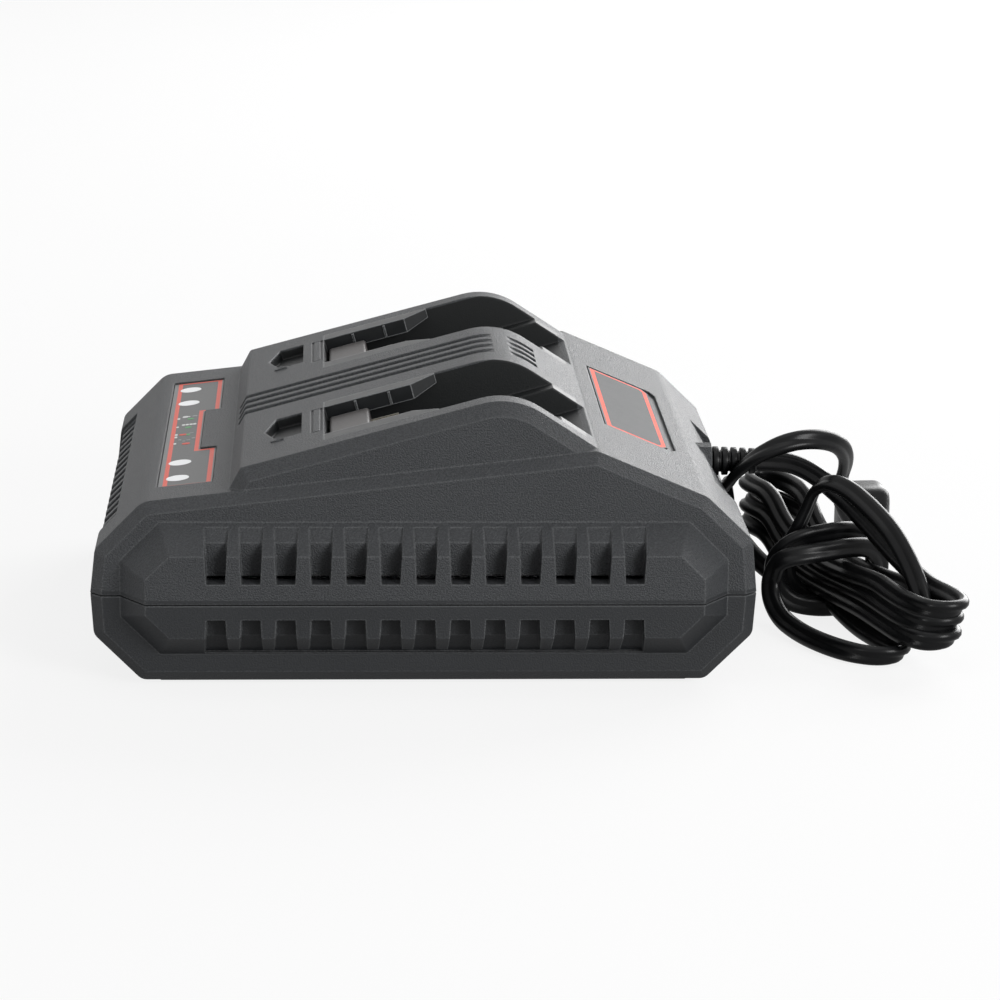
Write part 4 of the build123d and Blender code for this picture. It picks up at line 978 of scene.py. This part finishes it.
upper_loop = [
    (0.1072, 0.0395, 0.0186), (0.1064, 0.0424, 0.0252), (0.105, 0.0392, 0.0314),
    (0.1044, 0.0296, 0.0346), (0.1036, 0.0175, 0.0366), (0.1028, 0.006, 0.0396),
    (0.1032, -0.0034, 0.0442), (0.1058, -0.0092, 0.0494), (0.1108, -0.0116, 0.0542),
    (0.1172, -0.0124, 0.0576), (0.1242, -0.0116, 0.0594), (0.1314, -0.0088, 0.059),
    (0.1378, -0.0034, 0.0564), (0.142, 0.004, 0.0512), (0.1432, 0.012, 0.0446), (0.1426, 0.02, 0.0378),
    (0.1436, 0.028, 0.0304), (0.1474, 0.035, 0.0224), (0.1524, 0.0406, 0.0158),
    (0.1564, 0.0442, 0.0129), (0.159, 0.048, 0.0125),
]
route = (exit_strand + hank_turns + lower_loop + binding_turns + cross_strand + return_strand
         + upper_loop)
cord_line = bpy.data.curves.new("cord_line", "CURVE")
cord_line.dimensions = "3D"
cord_line.resolution_u = 6
spline = cord_line.splines.new("NURBS")
spline.points.add(len(route) - 1)
for point, place in zip(spline.points, route):
    point.co = (*place, 1)
spline.order_u = 3
spline.use_endpoint_u = True
cord = bpy.data.objects.new("cord_line", cord_line)
scene.collection.objects.link(cord)
bare_line = bpy.data.meshes.new_from_object(cord)
cord_path = [vertex.co.copy() for vertex in bare_line.vertices]
bpy.data.meshes.remove(bare_line)

# Section of the cord: two round cores side by side, and a groove on each face. Its wide way is
# carried along the line without twisting, and is eased towards upright on the way.
core_radius = cord_thickness / 2
core_offset = cord_width / 2 - core_radius
core_steps = 8
core_sweep = 260                 # degrees of each core's round that show outside the groove
outline = []
for side, groove_side in ((1, -130), (-1, 50)):
    for step in range(core_steps + 1):
        angle = math.radians(groove_side + core_sweep / core_steps * step)
        outline.append((side * core_offset + core_radius * math.cos(angle),
                        core_radius * math.sin(angle)))
hank_along = Vector((0.312, -0.95, 0))
hank_across = Vector((0.95, 0.312, 0))
loose_lean = 0.3                 # how far the wide way leans over, on loose strands
hank_lean = 0.75                 # and how much more in the turns of the hank, which lie half flat
ease = 0.14
ring_points = []
ring_faces = []
wide_way = Vector((0, 0, 1))
for index, centre in enumerate(cord_path):
    following = cord_path[min(index + 1, len(cord_path) - 1)]
    onward = (following - cord_path[max(index - 1, 0)]).normalized()
    lean = loose_lean + hank_lean * onward.dot(hank_along) ** 2
    upright = (Vector((0, 0, 1)) + hank_across * lean).normalized()
    wanted = upright - onward * upright.dot(onward)
    if wanted.dot(wide_way) < 0:
        wanted.negate()
    wide_way = wide_way - onward * wide_way.dot(onward)
    wide_way = (wide_way.normalized() + wanted * ease).normalized()
    thin_way = onward.cross(wide_way)
    ring_points += [centre + wide_way * wide + thin_way * thin for wide, thin in outline]
    if index:
        ring = index * len(outline)
        before = ring - len(outline)
        for corner in range(len(outline)):
            other = (corner + 1) % len(outline)
            ring_faces.append((before + corner, before + other, ring + other, ring + corner))
ring_faces.append(tuple(range(len(outline))))
ring_faces.append(tuple(range(len(ring_points) - len(outline), len(ring_points))))
cord_mesh = bpy.data.meshes.new("power_cord")
cord_mesh.from_pydata(ring_points, [], ring_faces)
bpy.data.objects.remove(cord)
cord = bpy.data.objects.new("power_cord", cord_mesh)
scene.collection.objects.link(cord)
pick(cord)
bpy.ops.object.mode_set(mode="EDIT")
turn_outward()
bpy.ops.object.shade_smooth_by_angle(angle=math.radians(60))
finish_piece(cord, vinyl_skin)
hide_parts("power_cord_run", "power_cord_cross_strand", "power_cord_lower_loop",
            "power_cord_upper_loop", "power_cord_hank")

# ------------------------------------------------------------------ floor
# A matt pale table top, which throws little light back at the charger. The camera sees it nearly
# white, with the charger's soft shadow on it.
floor_size = 6
floor_glow = 0.84                # share of plain white that the camera sees in it
floor_sheen = 0.35               # and that glossy and clear pieces see
bpy.ops.mesh.primitive_plane_add(size=floor_size)
floor = bpy.context.object
floor.name = "floor"
table = Finish("table_top")
soft = table.noise(0.15)
camera_ray = table.ray("Camera")
mirrored = table.ray("Glossy").most(table.ray("Transmission"))
thrown_back = table.blend(soft, (0.32, 0.32, 0.32, 1), (0.36, 0.36, 0.36, 1))
seen_white = table.blend(soft, (0.82, 0.82, 0.82, 1), (0.85, 0.85, 0.85, 1))
table.surface(Base_Color=table.blend(camera_ray, thrown_back, seen_white), Roughness=0.8)
glow = table.node("Emission", {}, {"Color": (1, 1, 1, 1), "Strength": 1.0})
shown = (camera_ray * floor_glow).most(mirrored * floor_sheen)
matt = Value(table, table.shader.outputs[0])
lit = table.node("MixShader", {}, {0: shown, 1: matt, 2: glow})
table.feed(table.tree.nodes["Material Output"], {"Surface": lit})
floor.data.materials.append(table.material)
